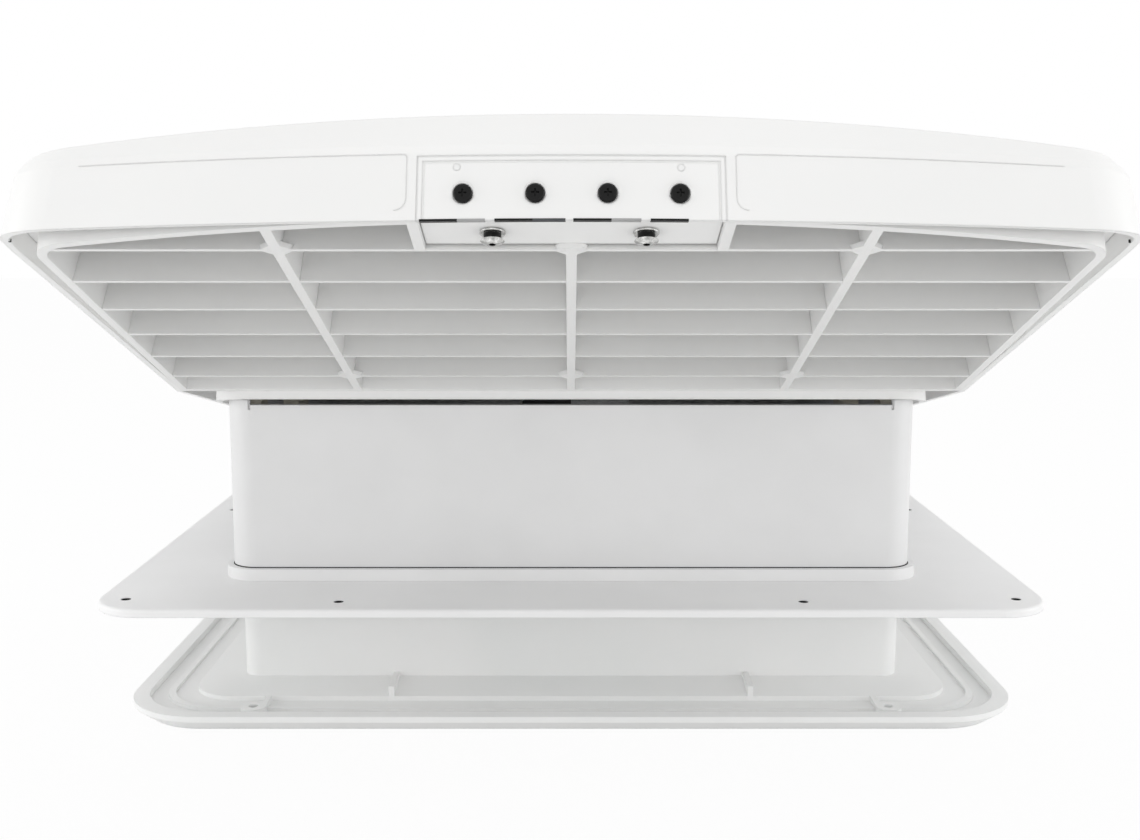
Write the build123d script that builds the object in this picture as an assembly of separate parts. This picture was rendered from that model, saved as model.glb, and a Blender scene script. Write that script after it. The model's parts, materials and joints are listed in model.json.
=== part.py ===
from build123d import *
import math
import os

os.makedirs("parts", exist_ok=True)

# Caravan roof vent with a tilting rain hood, shown with the hood open.
# Millimetres. The origin is the centre of the roof flange on the roof's surface,
# +Z is up and -Y is the side on which the hood opens.

# Gaps that several pieces share
seat_gap = 0.3
running_gap = 0.05
overrun = 3.0

# Roof opening and the housing that stands in it
roof_opening = 356.0
opening_slack = 8.0
shaft_wall = 4.0
shaft_corner = 14.0
shaft_bottom = -16.0
shaft_top = 96.3
front_wall_drop = 2.6
corner_post = 13.0
post_slit = 1.2
post_slit_depth = 5.0
ledge_width = 10.0
ledge_thickness = 3.0
ledge_level = -2.0
shaft_width = roof_opening - opening_slack
shaft_half = shaft_width / 2
shaft_inner = shaft_half - shaft_wall

# Roof flange with its collar
flange_width = 458.0
flange_thickness = 4.0
flange_corner = 25.0
flange_edge_round = 1.5
collar_wall = 3.2
collar_height = 6.2
collar_depth = 12.0
roof_hole = 5.0
corner_hole_inset_x = 14.3
corner_hole_inset_y = 18.6
middle_hole_inset = 14.2
middle_hole_place = 111.4
collar_inner = shaft_half + seat_gap

# Screws that hold the housing in the collar
collar_screw = 4.0
collar_screw_place = 95.0
collar_screw_level = 5.5
collar_screw_tip = 0.6

# Ceiling trim
roof_thickness = 51.3
trim_width = 442.0
trim_corner = 40.0
trim_edge = 3.0
trim_depth = 9.0
trim_taper = 8.0
trim_rim = 7.4
trim_channel = 8.1
trim_channel_depth = 3.3
trim_bead = 3.4
trim_bead_depth = 1.3
trim_shelf = 10.1
trim_shelf_depth = 2.5
trim_rise = 3.0
trim_collar_gap = 0.25
trim_collar_wall = 2.5
trim_collar_top_gap = 1.0
trim_boss = 12.5
trim_hole = 4.5
trim_boss_place = 156.0
trim_boss_inset = 15.0
trim_countersink = 9.0
trim_countersink_depth = 3.0
trim_rib = 3.0
trim_rib_place = 90.0
trim_rib_height = 2.2
trim_top = -roof_thickness
trim_bottom = trim_top - trim_depth
trim_collar_half = shaft_inner - trim_collar_gap
trim_inner = trim_collar_half - trim_collar_wall
trim_inner_corner = shaft_corner - shaft_wall - trim_collar_gap
trim_lug = 30.0
trim_lug_thickness = 5.0
trim_lug_level = -50.0

# Fan deck and throat
deck_thickness = 3.0
throat_radius = 156.0
throat_wall = 2.5
throat_height = 38.0
deck_screw = 4.0
deck_screw_inset = 5.0
deck_screw_place = 120.0
deck_screw_length = 5.0

# Motor and the spider that carries it
spider_ring = 36.0
spider_hole = 12.0
spider_height = 8.0
spider_arm = 9.0
spider_reach = 176.0
spider_screw = 4.0
spider_screw_length = 9.0
motor_radius = 32.0
motor_height = 24.0
motor_cap_height = 8.0
motor_cap_step = 3.0
motor_bore_depth = 20.0
motor_screw = 3.0
motor_screw_circle = 24.0
motor_screw_length = 9.0
motor_screws = 3
fan_shaft_radius = 4.0

# Fan
fan_radius = 152.5
fan_blades = 10
hub_radius = 42.0
hub_height = 30.0
hub_wall = 3.0
hub_level = 6.0
hub_boss = 10.0
blade_thickness = 2.2
blade_root_chord = 32.0
blade_tip_chord = 62.0
blade_root_pitch = 40.0
blade_tip_pitch = 24.0
nut_across = 13.0
nut_height = 6.5
shaft_proud = 2.0

# Insect screen and its quarter-turn knobs
screen_near = -122.0
screen_thickness = 5.0
screen_border = 14.0
screen_pad = 30.0
screen_corner = 12.0
screen_side_gap = 0.5
mesh_thickness = 0.8
mesh_strand = 2.0
mesh_across = 19
mesh_along = 15
mesh_seat = 4.0
mesh_corner = 6  # the net's corners, round the knobs' shafts
knob_place = 151.0
knob_inset = 15.0
knob_radius = 12.0
knob_disc = 2.0
knob_grip = 2.4
knob_grip_width = 5.0
knob_grip_length = 20.0
knob_shaft = 3.0

# Control panel in the ceiling
panel_depth = 14.0
panel_wall = 2.5
panel_recess = 0.8
panel_corner = 9.0
panel_post = 3.0
button_radius = 7.0
button_flange = 8.5
button_flange_thickness = 1.5
button_proud = 0.5
button_travel = 1.2
button_height = 6.0
button_pitch = 26.0
button_count = 5
button_shift = 30.0
window_width = 44.0
window_length = 16.0
window_thickness = 1.2
window_place = -100.0
window_lip = 1.5
board_thickness = 1.6
board_inset = 6.0
switch_side = 6.0

# Junction box and its cable gland
box_side = 34.0
box_height = 24.0
box_wall = 2.0
box_place = 146.0
box_along = 139.0
cable_slot_gap = 1.0
lid_thickness = 2.0
lid_lip = 1.5
gland_radius = 7.0
gland_length = 10.5
gland_bore = 3.5
gland_flange = 9.0
gland_flange_thickness = 2.0
box_top = ledge_level - ledge_thickness - seat_gap
box_bottom = box_top - box_height
gland_level = box_bottom + lid_lip + seat_gap + gland_radius

# Hinge of the hood
hinge_setback = 18.0
hinge_level = 44.0
open_angle = 11.4
hinge_pin_radius = 3.0
hinge_pin_length = 36.0
hinge_pin_head = 1.5
hinge_place = 124.0
knuckle_radius = 7.0
knuckle_width = 13.4
lug_thickness = 6.0
lug_radius = 8.0
bracket_thickness = 3.0
bracket_width = 40.0
bracket_height = 32.0
hinge_screw = 4.0
hinge_screw_inset = 5.0
hinge_y = shaft_half + hinge_setback

# Hood, with its sizes taken while it is closed
hood_half_width = 210.0
hood_rear_reach = 14.0
hood_reach = 599.0
hood_corner = 34.0
hood_wall = 3.0
hood_top = 118.0
hood_crease = 89.5
hood_lean = 4.0
hood_lean_depth = 23.5
hood_band = 3.0
hood_band_step = 1.5
hood_shoulder_slope = 40.0
front_bow_radius = 820.0
crown_width_radius = 1750.0
crown_length_radius = 6522.0
rear_rim_level = 30.8
visor_kink_reach = 324.0
visor_corner_reach = 549.0
visor_corner_level = 67.7
front_rim_level = 65.5
corner_keep_share = 0.6
crown_reach_share = 1.15
hood_front = hinge_y - hood_reach
hood_rear = hinge_y + hood_rear_reach

# Louvre grille under the visor, along its own sloping plane
grille_slope = 10.4
grille_gap = 10.0
grille_level = 26.8
grille_half_width = 192.8
grille_length = 223.0
grille_bow_radius = 700.0
grille_corner = 16.0
grille_wall = 3.6
grille_depth = 19.5
grille_flange = 2.5
slat_first = 27.0
slat_pitch = 33.2
slat_count = 6
slat_thickness = 2.0
slat_lean = 21.0
bar_width = 4.0
bar_place = 105.0
gusset = 9.0
gusset_depth = 2.0
lip_half_width = 180.0
lip_drop = 4.0
lip_wall = 3.0
lip_corner = 20.0
lip_return = 22.0
grille_screw = 3.0
grille_screw_rear = 16.0
grille_screw_side = 13.0
grille_screw_length = 12.0
grille_boss = 3.6

# Frame inside the hood that carries the seal
inner_frame_wall = 3.0
inner_frame_gap = 3.0
inner_frame_skirt = 12.0
seal_thickness = 2.0
seal_ledge = 2.4
seal_width = 12.0

# Cover at the middle of the hood's front
cover_half_width = 51.6
cover_depth = 21.0
cover_floor = 2.5
cover_lift = 2.0
cover_frame = 4.0
cover_top_gap = 1.3
cover_slot_height = 2.2
cover_slot_pitch = 26.0
cover_slot_width = 22.7
cover_slot_start = 51.6
cover_slots = 3
cover_last_slot = 12.6
cover_line = 0.8
cover_line_depth = 0.3
cover_line_inset = 1.5
cover_screw = 6.4
cover_screw_shank = 3.0
cover_screw_pitch = 24.2
cover_screw_count = 4
cover_screw_level = 75.0
cover_screw_length = 7.0
cover_seat_gap = 0.4
cover_seat_depth = 0.3
catch_screw = 9.0
catch_screw_shank = 4.0
catch_screw_left = 27.4
catch_screw_right = 26.0
catch_screw_inset = 13.0
catch_screw_length = 9.0

# Lift gear: cross shaft, pinions and curved racks
lift_setback = 30.0
lift_level = 84.0
lift_shaft_radius = 4.0
gear_module = 1.5
pinion_teeth = 12
pinion_width = 8.0
tooth_share = 0.3
tip_share = 0.13
addendum_share = 0.8
dedendum_share = 1.15
rack_place = 146.0
rack_width = 6.0
rack_depth = 12.0
rack_low_angle = 1.7
rack_high_angle = 2.2
rack_foot = 26.0
rack_foot_width = 16.0
rack_foot_height = 8.0
bearing_width = 6.0
bearing_radius = 10.0
bearing_plate = 3.0
bearing_plate_width = 34.0
bearing_plate_height = 40.0
bearing_gap = 1.5
gearbox_length = 29.0
gearbox_height = 26.0
gearbox_corner = 4.0
gearbox_back = 11.0
lift_motor_radius = 12.0
lift_motor_length = 25.0
lift_motor_cap = 4.0
lift_motor_cap_radius = 5.0
lift_bracket_thickness = 3.0
lift_bracket_width = 64.0
lift_bracket_height = 26.0
lift_screw = 3.0
lift_screw_length = 6.0
lift_hole_depth = 3.2  # blind, so that the housing's front stays whole
lift_y = -shaft_inner + lift_setback
pinion_radius = gear_module * pinion_teeth / 2

# Screw heads, as shares of the shank's width
head_width_share = 1.9
head_height_share = 0.6
recess_width_share = 0.9
recess_slot_share = 0.22
recess_depth_share = 0.35


def block(left, right, near, far, low, high):
    middle = Pos((left + right) / 2, (near + far) / 2, (low + high) / 2)
    return middle * Box(right - left, far - near, high - low)


def rounded(half_x, half_y, corner, low, high):
    outline = RectangleRounded(2 * half_x, 2 * half_y, corner)
    return Pos(0, 0, low) * extrude(outline, high - low)


def upright(radius, x, y, low, high):
    return Pos(x, y, (low + high) / 2) * Cylinder(radius, high - low)


def crosswise(radius, y, z, left, right):
    return Pos((left + right) / 2, y, z) * Rot(0, 90, 0) * Cylinder(radius, right - left)


def lengthwise(radius, x, z, near, far):
    return Pos(x, (near + far) / 2, z) * Rot(90, 0, 0) * Cylinder(radius, far - near)


def side_profile(points, left, right):
    # a plate across X from an outline of (y, z) points
    face = Plane.YZ * make_face(Polyline(*points, close=True))
    return Pos(left, 0, 0) * extrude(face, right - left)


def quartered(x, y):
    return [(x, y), (-x, y), (x, -y), (-x, -y)]


def screw(shank, length, head_width=0):
    # head above zero, shank below it, with a cross recess
    width = head_width if head_width else shank * head_width_share
    height = shank * head_height_share
    body = upright(width / 2, 0, 0, 0, height)
    body = fillet(body.edges().group_by(Axis.Z)[-1], height / 2)
    body += upright(shank / 2, 0, 0, -length, 0)
    reach = shank * recess_width_share / 2
    slot = shank * recess_slot_share / 2
    floor = height - shank * recess_depth_share
    body -= block(-reach, reach, -slot, slot, floor, height + overrun)
    body -= block(-slot, slot, -reach, reach, floor, height + overrun)
    return body


def group(pieces):
    return Compound([solid for piece in pieces for solid in piece.solids()])


def save(name, shape):
    export_step(shape, os.path.join("parts", name + ".step"))


def opened(shape):
    hinge = Axis((0, hinge_y, hinge_level), (1, 0, 0))
    return shape.rotate(hinge, -open_angle)


# Base: the square housing, open at both ends, with a ledge for the fan deck
def base_housing():
    body = rounded(shaft_half, shaft_half, shaft_corner, shaft_bottom, shaft_top)
    hole_corner = shaft_corner - shaft_wall
    body -= rounded(shaft_inner, shaft_inner, hole_corner, shaft_bottom - overrun, shaft_top + overrun)
    ledge = rounded(shaft_inner + seat_gap, shaft_inner + seat_gap, hole_corner,
                    ledge_level - ledge_thickness, ledge_level)
    ledge_half = shaft_inner - ledge_width
    ledge -= rounded(ledge_half, ledge_half, hole_corner, shaft_bottom, shaft_top)
    body += ledge
    straight = shaft_half - corner_post
    body -= block(-straight, straight, -shaft_half - overrun, -shaft_inner + overrun,
                  shaft_top - front_wall_drop, shaft_top + overrun)
    for side in (-1, 1):
        slit = side * straight
        body -= block(slit - post_slit / 2, slit + post_slit / 2, -shaft_half - overrun,
                      -shaft_half + post_slit, shaft_top - post_slit_depth, shaft_top + overrun)
    for hole in collar_screw_holes(collar_screw / 2 + running_gap, shaft_inner - overrun, shaft_half + overrun):
        body -= hole
    for x, y in deck_screw_places():
        body -= upright(deck_screw / 2 + running_gap, x, y, ledge_level - ledge_thickness - overrun,
                        ledge_level + overrun)
    for hole in hinge_screw_rods(hinge_screw / 2 + running_gap, shaft_inner - overrun, shaft_half + overrun):
        body -= hole
    for hole in bracket_screw_rods(lift_screw / 2 + running_gap):
        body -= hole
    for hole in bearing_screw_rods(lift_screw / 2 + running_gap):
        body -= hole
    return body


def collar_screw_holes(radius, inner, outer):
    rods = []
    for place in (-collar_screw_place, collar_screw_place):
        rods.append(crosswise(radius, place, collar_screw_level, inner, outer))
        rods.append(crosswise(radius, place, collar_screw_level, -outer, -inner))
        rods.append(lengthwise(radius, place, collar_screw_level, inner, outer))
        rods.append(lengthwise(radius, place, collar_screw_level, -outer, -inner))
    return rods


def collar_screws():
    tip = collar_inner + collar_wall - collar_screw_tip
    length = tip - shaft_inner
    pieces = []
    for turn in range(4):
        for place in (-collar_screw_place, collar_screw_place):
            one = Pos(shaft_inner, place, collar_screw_level) * Rot(0, -90, 0) * screw(collar_screw, length)
            pieces.append(Rot(0, 0, 90 * turn) * one)
    return group(pieces)


def roof_hole_places():
    half = flange_width / 2
    places = quartered(half - corner_hole_inset_x, half - corner_hole_inset_y)
    places += quartered(middle_hole_place, half - middle_hole_inset)
    places += [(half - corner_hole_inset_x, 0), (corner_hole_inset_x - half, 0)]
    return places


def roof_flange():
    half = flange_width / 2
    plate = rounded(half, half, flange_corner, 0, flange_thickness)
    plate = fillet(plate.edges().group_by(Axis.Z)[-1], flange_edge_round)
    collar_half = collar_inner + collar_wall
    collar_round = shaft_corner + seat_gap + collar_wall
    plate += rounded(collar_half, collar_half, collar_round, -collar_depth, flange_thickness + collar_height)
    plate -= rounded(collar_inner, collar_inner, shaft_corner + seat_gap, -collar_depth - overrun,
                     flange_thickness + collar_height + overrun)
    for x, y in roof_hole_places():
        plate -= upright(roof_hole / 2, x, y, -overrun, flange_thickness + overrun)
    tip = collar_inner + collar_wall - collar_screw_tip
    for hole in collar_screw_holes(collar_screw / 2 + running_gap, shaft_inner, tip + running_gap):
        plate -= hole
    return plate


# Ceiling trim: a frame seen from the room, with a collar that slides into the housing
def trim_ring(outer_inset, inner_inset, low, high):
    half = trim_width / 2
    outer = half - outer_inset
    inner = half - inner_inset
    body = rounded(outer, outer, trim_corner - outer_inset * corner_keep_share, low, high)
    inner_corner = trim_corner - inner_inset * corner_keep_share
    return body - rounded(inner, inner, inner_corner, low - overrun, high + overrun)


def ceiling_trim():
    half = trim_width / 2
    body = rounded(half, half, trim_corner, trim_top - trim_edge, trim_top)
    low_half = half - trim_taper
    low = Pos(0, 0, trim_bottom) * RectangleRounded(2 * low_half, 2 * low_half, trim_corner - trim_taper)
    high = Pos(0, 0, trim_top - trim_edge) * RectangleRounded(2 * half, 2 * half, trim_corner)
    body += loft([low, high], ruled=True)
    channel_end = trim_rim + trim_channel
    bead_end = channel_end + trim_bead
    shelf_end = bead_end + trim_shelf
    body -= trim_ring(trim_rim, channel_end, trim_top - trim_channel_depth, trim_top + overrun)
    body -= trim_ring(channel_end, bead_end, trim_top - trim_bead_depth, trim_top + overrun)
    body -= trim_ring(bead_end, shelf_end, trim_top - trim_shelf_depth, trim_top + overrun)
    plateau = half - shelf_end
    foot = Pos(0, 0, trim_top) * RectangleRounded(2 * plateau, 2 * plateau,
                                                  trim_corner - shelf_end * corner_keep_share)
    crest = Pos(0, 0, trim_top + trim_rise) * RectangleRounded(2 * trim_collar_half, 2 * trim_collar_half,
                                                               shaft_corner)
    body += loft([foot, crest], ruled=True)
    collar_top = ledge_level - ledge_thickness - trim_collar_top_gap
    body += rounded(trim_collar_half, trim_collar_half, trim_inner_corner, trim_top, collar_top)
    for x, y in quartered(trim_boss_place, half - trim_boss_inset):
        side = math.copysign(1, x)
        reach = math.copysign(half - trim_boss_inset, y)
        inner_reach = math.copysign(plateau, y)
        body += upright(trim_boss / 2, x, y, trim_top - trim_edge, trim_top)
        rib_left = x - side * trim_hole - trim_rib / 2
        body += block(rib_left, rib_left + trim_rib, min(reach, inner_reach), max(reach, inner_reach),
                      trim_top - trim_edge, trim_top)
    for x, y in quartered(trim_rib_place, plateau):
        near, far = min(y, math.copysign(trim_collar_half, y)), max(y, math.copysign(trim_collar_half, y))
        body += block(x - trim_rib / 2, x + trim_rib / 2, near, far, trim_top - trim_shelf_depth,
                      trim_top + trim_rise + trim_rib_height)
    body -= rounded(trim_inner, trim_inner, trim_inner_corner, trim_bottom - overrun, collar_top + overrun)
    for x, y in quartered(trim_boss_place, half - trim_boss_inset):
        body -= upright(trim_hole / 2, x, y, trim_bottom - overrun, trim_top + overrun)
        sink = Pos(x, y, trim_bottom + trim_countersink_depth / 2)
        body -= sink * Cone(trim_countersink / 2, trim_hole / 2, trim_countersink_depth)
    for x, y in knob_places():
        wall = math.copysign(trim_inner + trim_collar_wall / 2, x)
        edge = math.copysign(abs(x) - trim_lug / 2, x)
        body += block(min(wall, edge), max(wall, edge), y - trim_lug / 2, y + trim_lug / 2,
                      trim_lug_level, trim_lug_level + trim_lug_thickness)
        body -= upright(knob_shaft + running_gap, x, y, trim_lug_level - overrun,
                        trim_lug_level + trim_lug_thickness + overrun)
    slot = gland_radius + cable_slot_gap
    body -= block(box_place - slot, box_place + slot, trim_inner - overrun, trim_collar_half + overrun,
                  gland_level - slot, collar_top + overrun)  # the supply cable's way in
    return body


# Fan deck: a plate on the housing's ledge with the round throat of the fan
def deck_screw_places():
    edge = shaft_inner - deck_screw_inset
    places = []
    for place in (-deck_screw_place, deck_screw_place):
        places += [(place, edge), (place, -edge), (edge, place), (-edge, place)]
    return places


def spider_screw_places():
    reach = (spider_reach - spider_arm / 2) / math.sqrt(2)
    return quartered(reach, reach)


def fan_deck():
    half = shaft_inner - seat_gap
    top = ledge_level + deck_thickness
    body = rounded(half, half, shaft_corner - shaft_wall, ledge_level, top)
    body += upright(throat_radius + throat_wall, 0, 0, ledge_level, ledge_level + throat_height)
    body -= upright(throat_radius, 0, 0, ledge_level - overrun, ledge_level + throat_height + overrun)
    for x, y in deck_screw_places():
        body -= upright(deck_screw / 2 + running_gap, x, y, ledge_level - overrun, top + overrun)
    for x, y in spider_screw_places():
        body -= upright(spider_screw / 2 + running_gap, x, y, ledge_level - overrun, top + overrun)
    return body


def screws_down(places, level, shank, length):
    return group([Pos(x, y, level) * screw(shank, length) for x, y in places])


def motor_spider():
    bottom = ledge_level - spider_height
    body = upright(spider_ring, 0, 0, bottom, ledge_level)
    for turn in (45, 135):
        body += Rot(0, 0, turn) * block(-spider_reach, spider_reach, -spider_arm / 2, spider_arm / 2,
                                        bottom, ledge_level)
    body -= upright(spider_hole, 0, 0, bottom - overrun, ledge_level + overrun)
    for x, y in spider_screw_places():
        body -= upright(spider_screw / 2 + running_gap, x, y, bottom - overrun, ledge_level + overrun)
    for x, y in motor_screw_places():
        body -= upright(motor_screw / 2 + running_gap, x, y, bottom - overrun, ledge_level + overrun)
    return body


def motor_screw_places():
    turns = [2 * math.pi * count / motor_screws for count in range(motor_screws)]
    return [(motor_screw_circle * math.cos(turn), motor_screw_circle * math.sin(turn)) for turn in turns]


motor_top = ledge_level - spider_height


def fan_motor_can():
    body = upright(motor_radius, 0, 0, motor_top - motor_height, motor_top)
    body = fillet(body.edges().group_by(Axis.Z)[-1], motor_cap_step / 2)
    body -= upright(fan_shaft_radius + running_gap, 0, 0, motor_top - motor_bore_depth, motor_top + overrun)
    for x, y in motor_screw_places():
        depth = motor_screw_length - spider_height + running_gap
        body -= upright(motor_screw / 2 + running_gap, x, y, motor_top - depth, motor_top + overrun)
    return body


def fan_motor_cap():
    top = motor_top - motor_height
    body = upright(motor_radius - motor_cap_step, 0, 0, top - motor_cap_height, top)
    return fillet(body.edges().group_by(Axis.Z)[0], motor_cap_step)


hub_top = hub_level + hub_height


def motor_shaft():
    return upright(fan_shaft_radius, 0, 0, motor_top - motor_bore_depth + seat_gap,
                   hub_top + nut_height + shaft_proud)


def blade_section(reach, chord, pitch):
    face = Rot(pitch, 0, 0) * Rot(0, 90, 0) * Rectangle(blade_thickness, chord)
    return Pos(reach, 0, hub_level + hub_height / 2) * face


def fan_rotor():
    hub = upright(hub_radius, 0, 0, hub_level, hub_top)
    root = blade_section(hub_radius - hub_wall, blade_root_chord, blade_root_pitch)
    tip = blade_section(fan_radius + overrun, blade_tip_chord, blade_tip_pitch)
    blade = loft([root, tip])
    for count in range(fan_blades):
        hub += Rot(0, 0, 360 * count / fan_blades) * blade
    hub &= upright(fan_radius, 0, 0, hub_level - hub_height, hub_top + hub_height)
    hub -= upright(hub_radius - hub_wall, 0, 0, hub_level - overrun, hub_top - hub_wall)
    hub += upright(hub_boss, 0, 0, hub_level, hub_top)
    hub -= upright(fan_shaft_radius + running_gap, 0, 0, hub_level - overrun, hub_top + overrun)
    return hub


def fan_nut():
    body = Pos(0, 0, hub_top) * extrude(RegularPolygon(nut_across / 2, 6, major_radius=False), nut_height)
    return body - upright(fan_shaft_radius + running_gap, 0, 0, hub_top - overrun, hub_top + nut_height + overrun)


# Insect screen below the fan, held by four knobs on the trim's lugs
screen_top = trim_lug_level - seat_gap
screen_bottom = screen_top - screen_thickness
screen_half = trim_inner - screen_side_gap
screen_far = screen_half
screen_middle = (screen_near + screen_far) / 2
screen_half_length = (screen_far - screen_near) / 2


def knob_places():
    far = trim_inner - screen_side_gap - knob_inset
    near = screen_near + knob_inset
    return [(x, y) for y in (near, far) for x in (-knob_place, knob_place)]


def screen_frame():
    body = rounded(screen_half, screen_half_length, screen_corner, screen_bottom, screen_top)
    opening = rounded(screen_half - screen_border, screen_half_length - screen_border, screen_corner,
                      screen_bottom - overrun, screen_top + overrun)
    shift = Pos(0, screen_middle, 0)
    frame = shift * (body - opening)
    for x, y in knob_places():
        edge_x = math.copysign(screen_half, x)
        pad_x = math.copysign(screen_half - screen_pad, x)
        edge_y = screen_far - screen_corner if y > 0 else screen_near + screen_corner
        pad_y = screen_far - screen_pad if y > 0 else screen_near + screen_pad
        inner_x = math.copysign(screen_half - screen_corner, x)
        frame += block(min(pad_x, inner_x), max(pad_x, inner_x), min(edge_y, pad_y), max(edge_y, pad_y),
                       screen_bottom, screen_top)
        frame -= upright(knob_shaft + seat_gap, x, y, screen_bottom - overrun, screen_top + overrun)
    half_x = screen_half - screen_border + mesh_seat
    half_y = screen_half_length - screen_border + mesh_seat
    groove = rounded(half_x + running_gap, half_y + running_gap, mesh_corner,
                     screen_top - mesh_thickness, screen_top + overrun)
    return frame - shift * groove


def insect_screen():
    half_x = screen_half - screen_border + mesh_seat
    half_y = screen_half_length - screen_border + mesh_seat
    pitch_x = 2 * half_x / mesh_across
    pitch_y = 2 * half_y / mesh_along
    border = RectangleRounded(2 * half_x, 2 * half_y, mesh_corner).face().outer_wire()
    gaps = []
    for place in GridLocations(pitch_x, pitch_y, mesh_across, mesh_along):
        spot = place.position
        if abs(spot.X) > half_x - pitch_x and abs(spot.Y) > half_y - pitch_y:
            continue  # the knobs' shafts pass through the corners
        gap = place * Rectangle(pitch_x - mesh_strand, pitch_y - mesh_strand)
        gaps.append(gap.face().outer_wire())
    net = Face(border, gaps)
    body = Pos(0, screen_middle, screen_top - mesh_thickness) * extrude(net, mesh_thickness)
    for x, y in knob_places():
        body -= upright(knob_shaft + seat_gap, x, y, screen_bottom - overrun, screen_top + overrun)
    return body


def screen_knob(x, y):
    top = screen_bottom - seat_gap
    body = upright(knob_radius, 0, 0, top - knob_disc, top)
    body += block(-knob_grip_length / 2, knob_grip_length / 2, -knob_grip_width / 2, knob_grip_width / 2,
                  top - knob_disc - knob_grip, top - knob_disc)
    body += upright(knob_shaft, 0, 0, top, trim_lug_level + trim_lug_thickness)
    return Pos(x, y, 0) * body


# Control panel beside the screen, with five buttons
panel_far = screen_near - seat_gap
panel_near = -trim_inner + seat_gap
panel_half_length = (panel_far - panel_near) / 2
panel_middle = (panel_far + panel_near) / 2
panel_half_width = trim_inner - seat_gap
panel_bottom = trim_bottom + panel_recess
panel_floor = panel_bottom + panel_wall
board_bottom = panel_bottom + button_height + button_travel + button_proud


def button_places():
    start = button_shift - button_pitch * (button_count - 1) / 2
    return [start + button_pitch * count for count in range(button_count)]


def control_panel():
    body = rounded(panel_half_width, panel_half_length, panel_corner, panel_bottom, panel_bottom + panel_depth)
    body -= rounded(panel_half_width - panel_wall, panel_half_length - panel_wall, panel_corner - panel_wall,
                    panel_floor, panel_bottom + panel_depth + overrun)
    post_x = panel_half_width - panel_corner
    for x in (-post_x, post_x):
        body += upright(panel_post, x, 0, panel_bottom, board_bottom)
    for x in button_places():
        body -= upright(button_radius + seat_gap / 2, x, 0, panel_bottom - overrun, panel_floor + overrun)
    half_x = window_width / 2
    half_y = window_length / 2
    body -= Pos(window_place, 0, 0) * block(-half_x, half_x, -half_y, half_y, panel_bottom - overrun,
                                            panel_bottom + window_thickness)
    body -= Pos(window_place, 0, 0) * block(window_lip - half_x, half_x - window_lip, window_lip - half_y,
                                            half_y - window_lip, panel_bottom - overrun, panel_floor + overrun)
    return Pos(0, panel_middle, 0) * body


def display_window():
    half_x = window_width / 2 - running_gap
    half_y = window_length / 2 - running_gap
    body = block(-half_x, half_x, -half_y, half_y, panel_bottom, panel_bottom + window_thickness)
    return Pos(window_place, panel_middle, 0) * body


def control_button(x):
    low = panel_bottom - button_proud
    body = upright(button_radius, 0, 0, low, low + button_height)
    body = fillet(body.edges().group_by(Axis.Z)[0], button_proud)
    flange_low = panel_floor + seat_gap
    body += upright(button_flange, 0, 0, flange_low, flange_low + button_flange_thickness)
    return Pos(x, panel_middle, 0) * body


def control_board():
    half_x = panel_half_width - board_inset
    half_y = panel_half_length - board_inset
    body = block(-half_x, half_x, -half_y, half_y, board_bottom, board_bottom + board_thickness)
    low = panel_bottom - button_proud + button_height + button_travel + seat_gap
    for x in button_places():
        body += block(x - switch_side / 2, x + switch_side / 2, -switch_side / 2, switch_side / 2,
                      low, board_bottom)
    return Pos(0, panel_middle, 0) * body


# Junction box under the ledge, where the vehicle's wires come in


def junction_box():
    half = box_side / 2
    body = block(-half, half, -half, half, box_bottom, box_top)
    inner = half - box_wall
    body -= block(-inner, inner, -inner, inner, box_bottom - overrun, box_top - box_wall)
    body -= lengthwise(gland_radius + running_gap, 0, gland_level, inner - overrun, half + overrun)
    return Pos(box_place, box_along, 0) * body


def junction_box_lid():
    half = box_side / 2
    body = block(-half, half, -half, half, box_bottom - lid_thickness, box_bottom)
    inner = half - box_wall - seat_gap
    body += block(-inner, inner, -inner, inner, box_bottom, box_bottom + lid_lip)
    return Pos(box_place, box_along, 0) * body


def cable_gland():
    half = box_side / 2
    end = half + gland_length
    body = lengthwise(gland_radius, 0, gland_level, half - box_wall - lid_lip, end)
    body += lengthwise(gland_flange, 0, gland_level, half, half + gland_flange_thickness)
    body -= lengthwise(gland_bore, 0, gland_level, 0, end + overrun)
    return Pos(box_place, box_along, 0) * body


# Hinge: brackets on the housing's rear wall, pins, and the hood's own lugs
def hinge_screw_rods(radius, near, far):
    rods = []
    for side in (-1, 1):
        for x in (hinge_screw_inset - bracket_width / 2, bracket_width / 2 - hinge_screw_inset):
            for z in (hinge_screw_inset - bracket_height / 2, bracket_height / 2 - hinge_screw_inset):
                rods.append(lengthwise(radius, side * hinge_place + x, hinge_level + z, near, far))
    return rods


def hinge_bracket(side):
    x = side * hinge_place
    far = shaft_half + bracket_thickness
    body = block(x - bracket_width / 2, x + bracket_width / 2, shaft_half, far,
                 hinge_level - bracket_height / 2, hinge_level + bracket_height / 2)
    half = knuckle_width / 2
    body += block(x - half, x + half, shaft_half, hinge_y, hinge_level - knuckle_radius,
                  hinge_level + knuckle_radius)
    body += crosswise(knuckle_radius, hinge_y, hinge_level, x - half, x + half)
    body -= crosswise(hinge_pin_radius + running_gap, hinge_y, hinge_level, x - half - overrun, x + half + overrun)
    for rod in hinge_screw_rods(hinge_screw / 2 + running_gap, shaft_inner, far + overrun):
        body -= rod
    return body


def hinge_screws():
    pieces = []
    length = bracket_thickness + shaft_wall
    for side in (-1, 1):
        for x in (hinge_screw_inset - bracket_width / 2, bracket_width / 2 - hinge_screw_inset):
            for z in (hinge_screw_inset - bracket_height / 2, bracket_height / 2 - hinge_screw_inset):
                place = Pos(side * hinge_place + x, shaft_half + bracket_thickness, hinge_level + z)
                pieces.append(place * Rot(-90, 0, 0) * screw(hinge_screw, length))
    return group(pieces)


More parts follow.
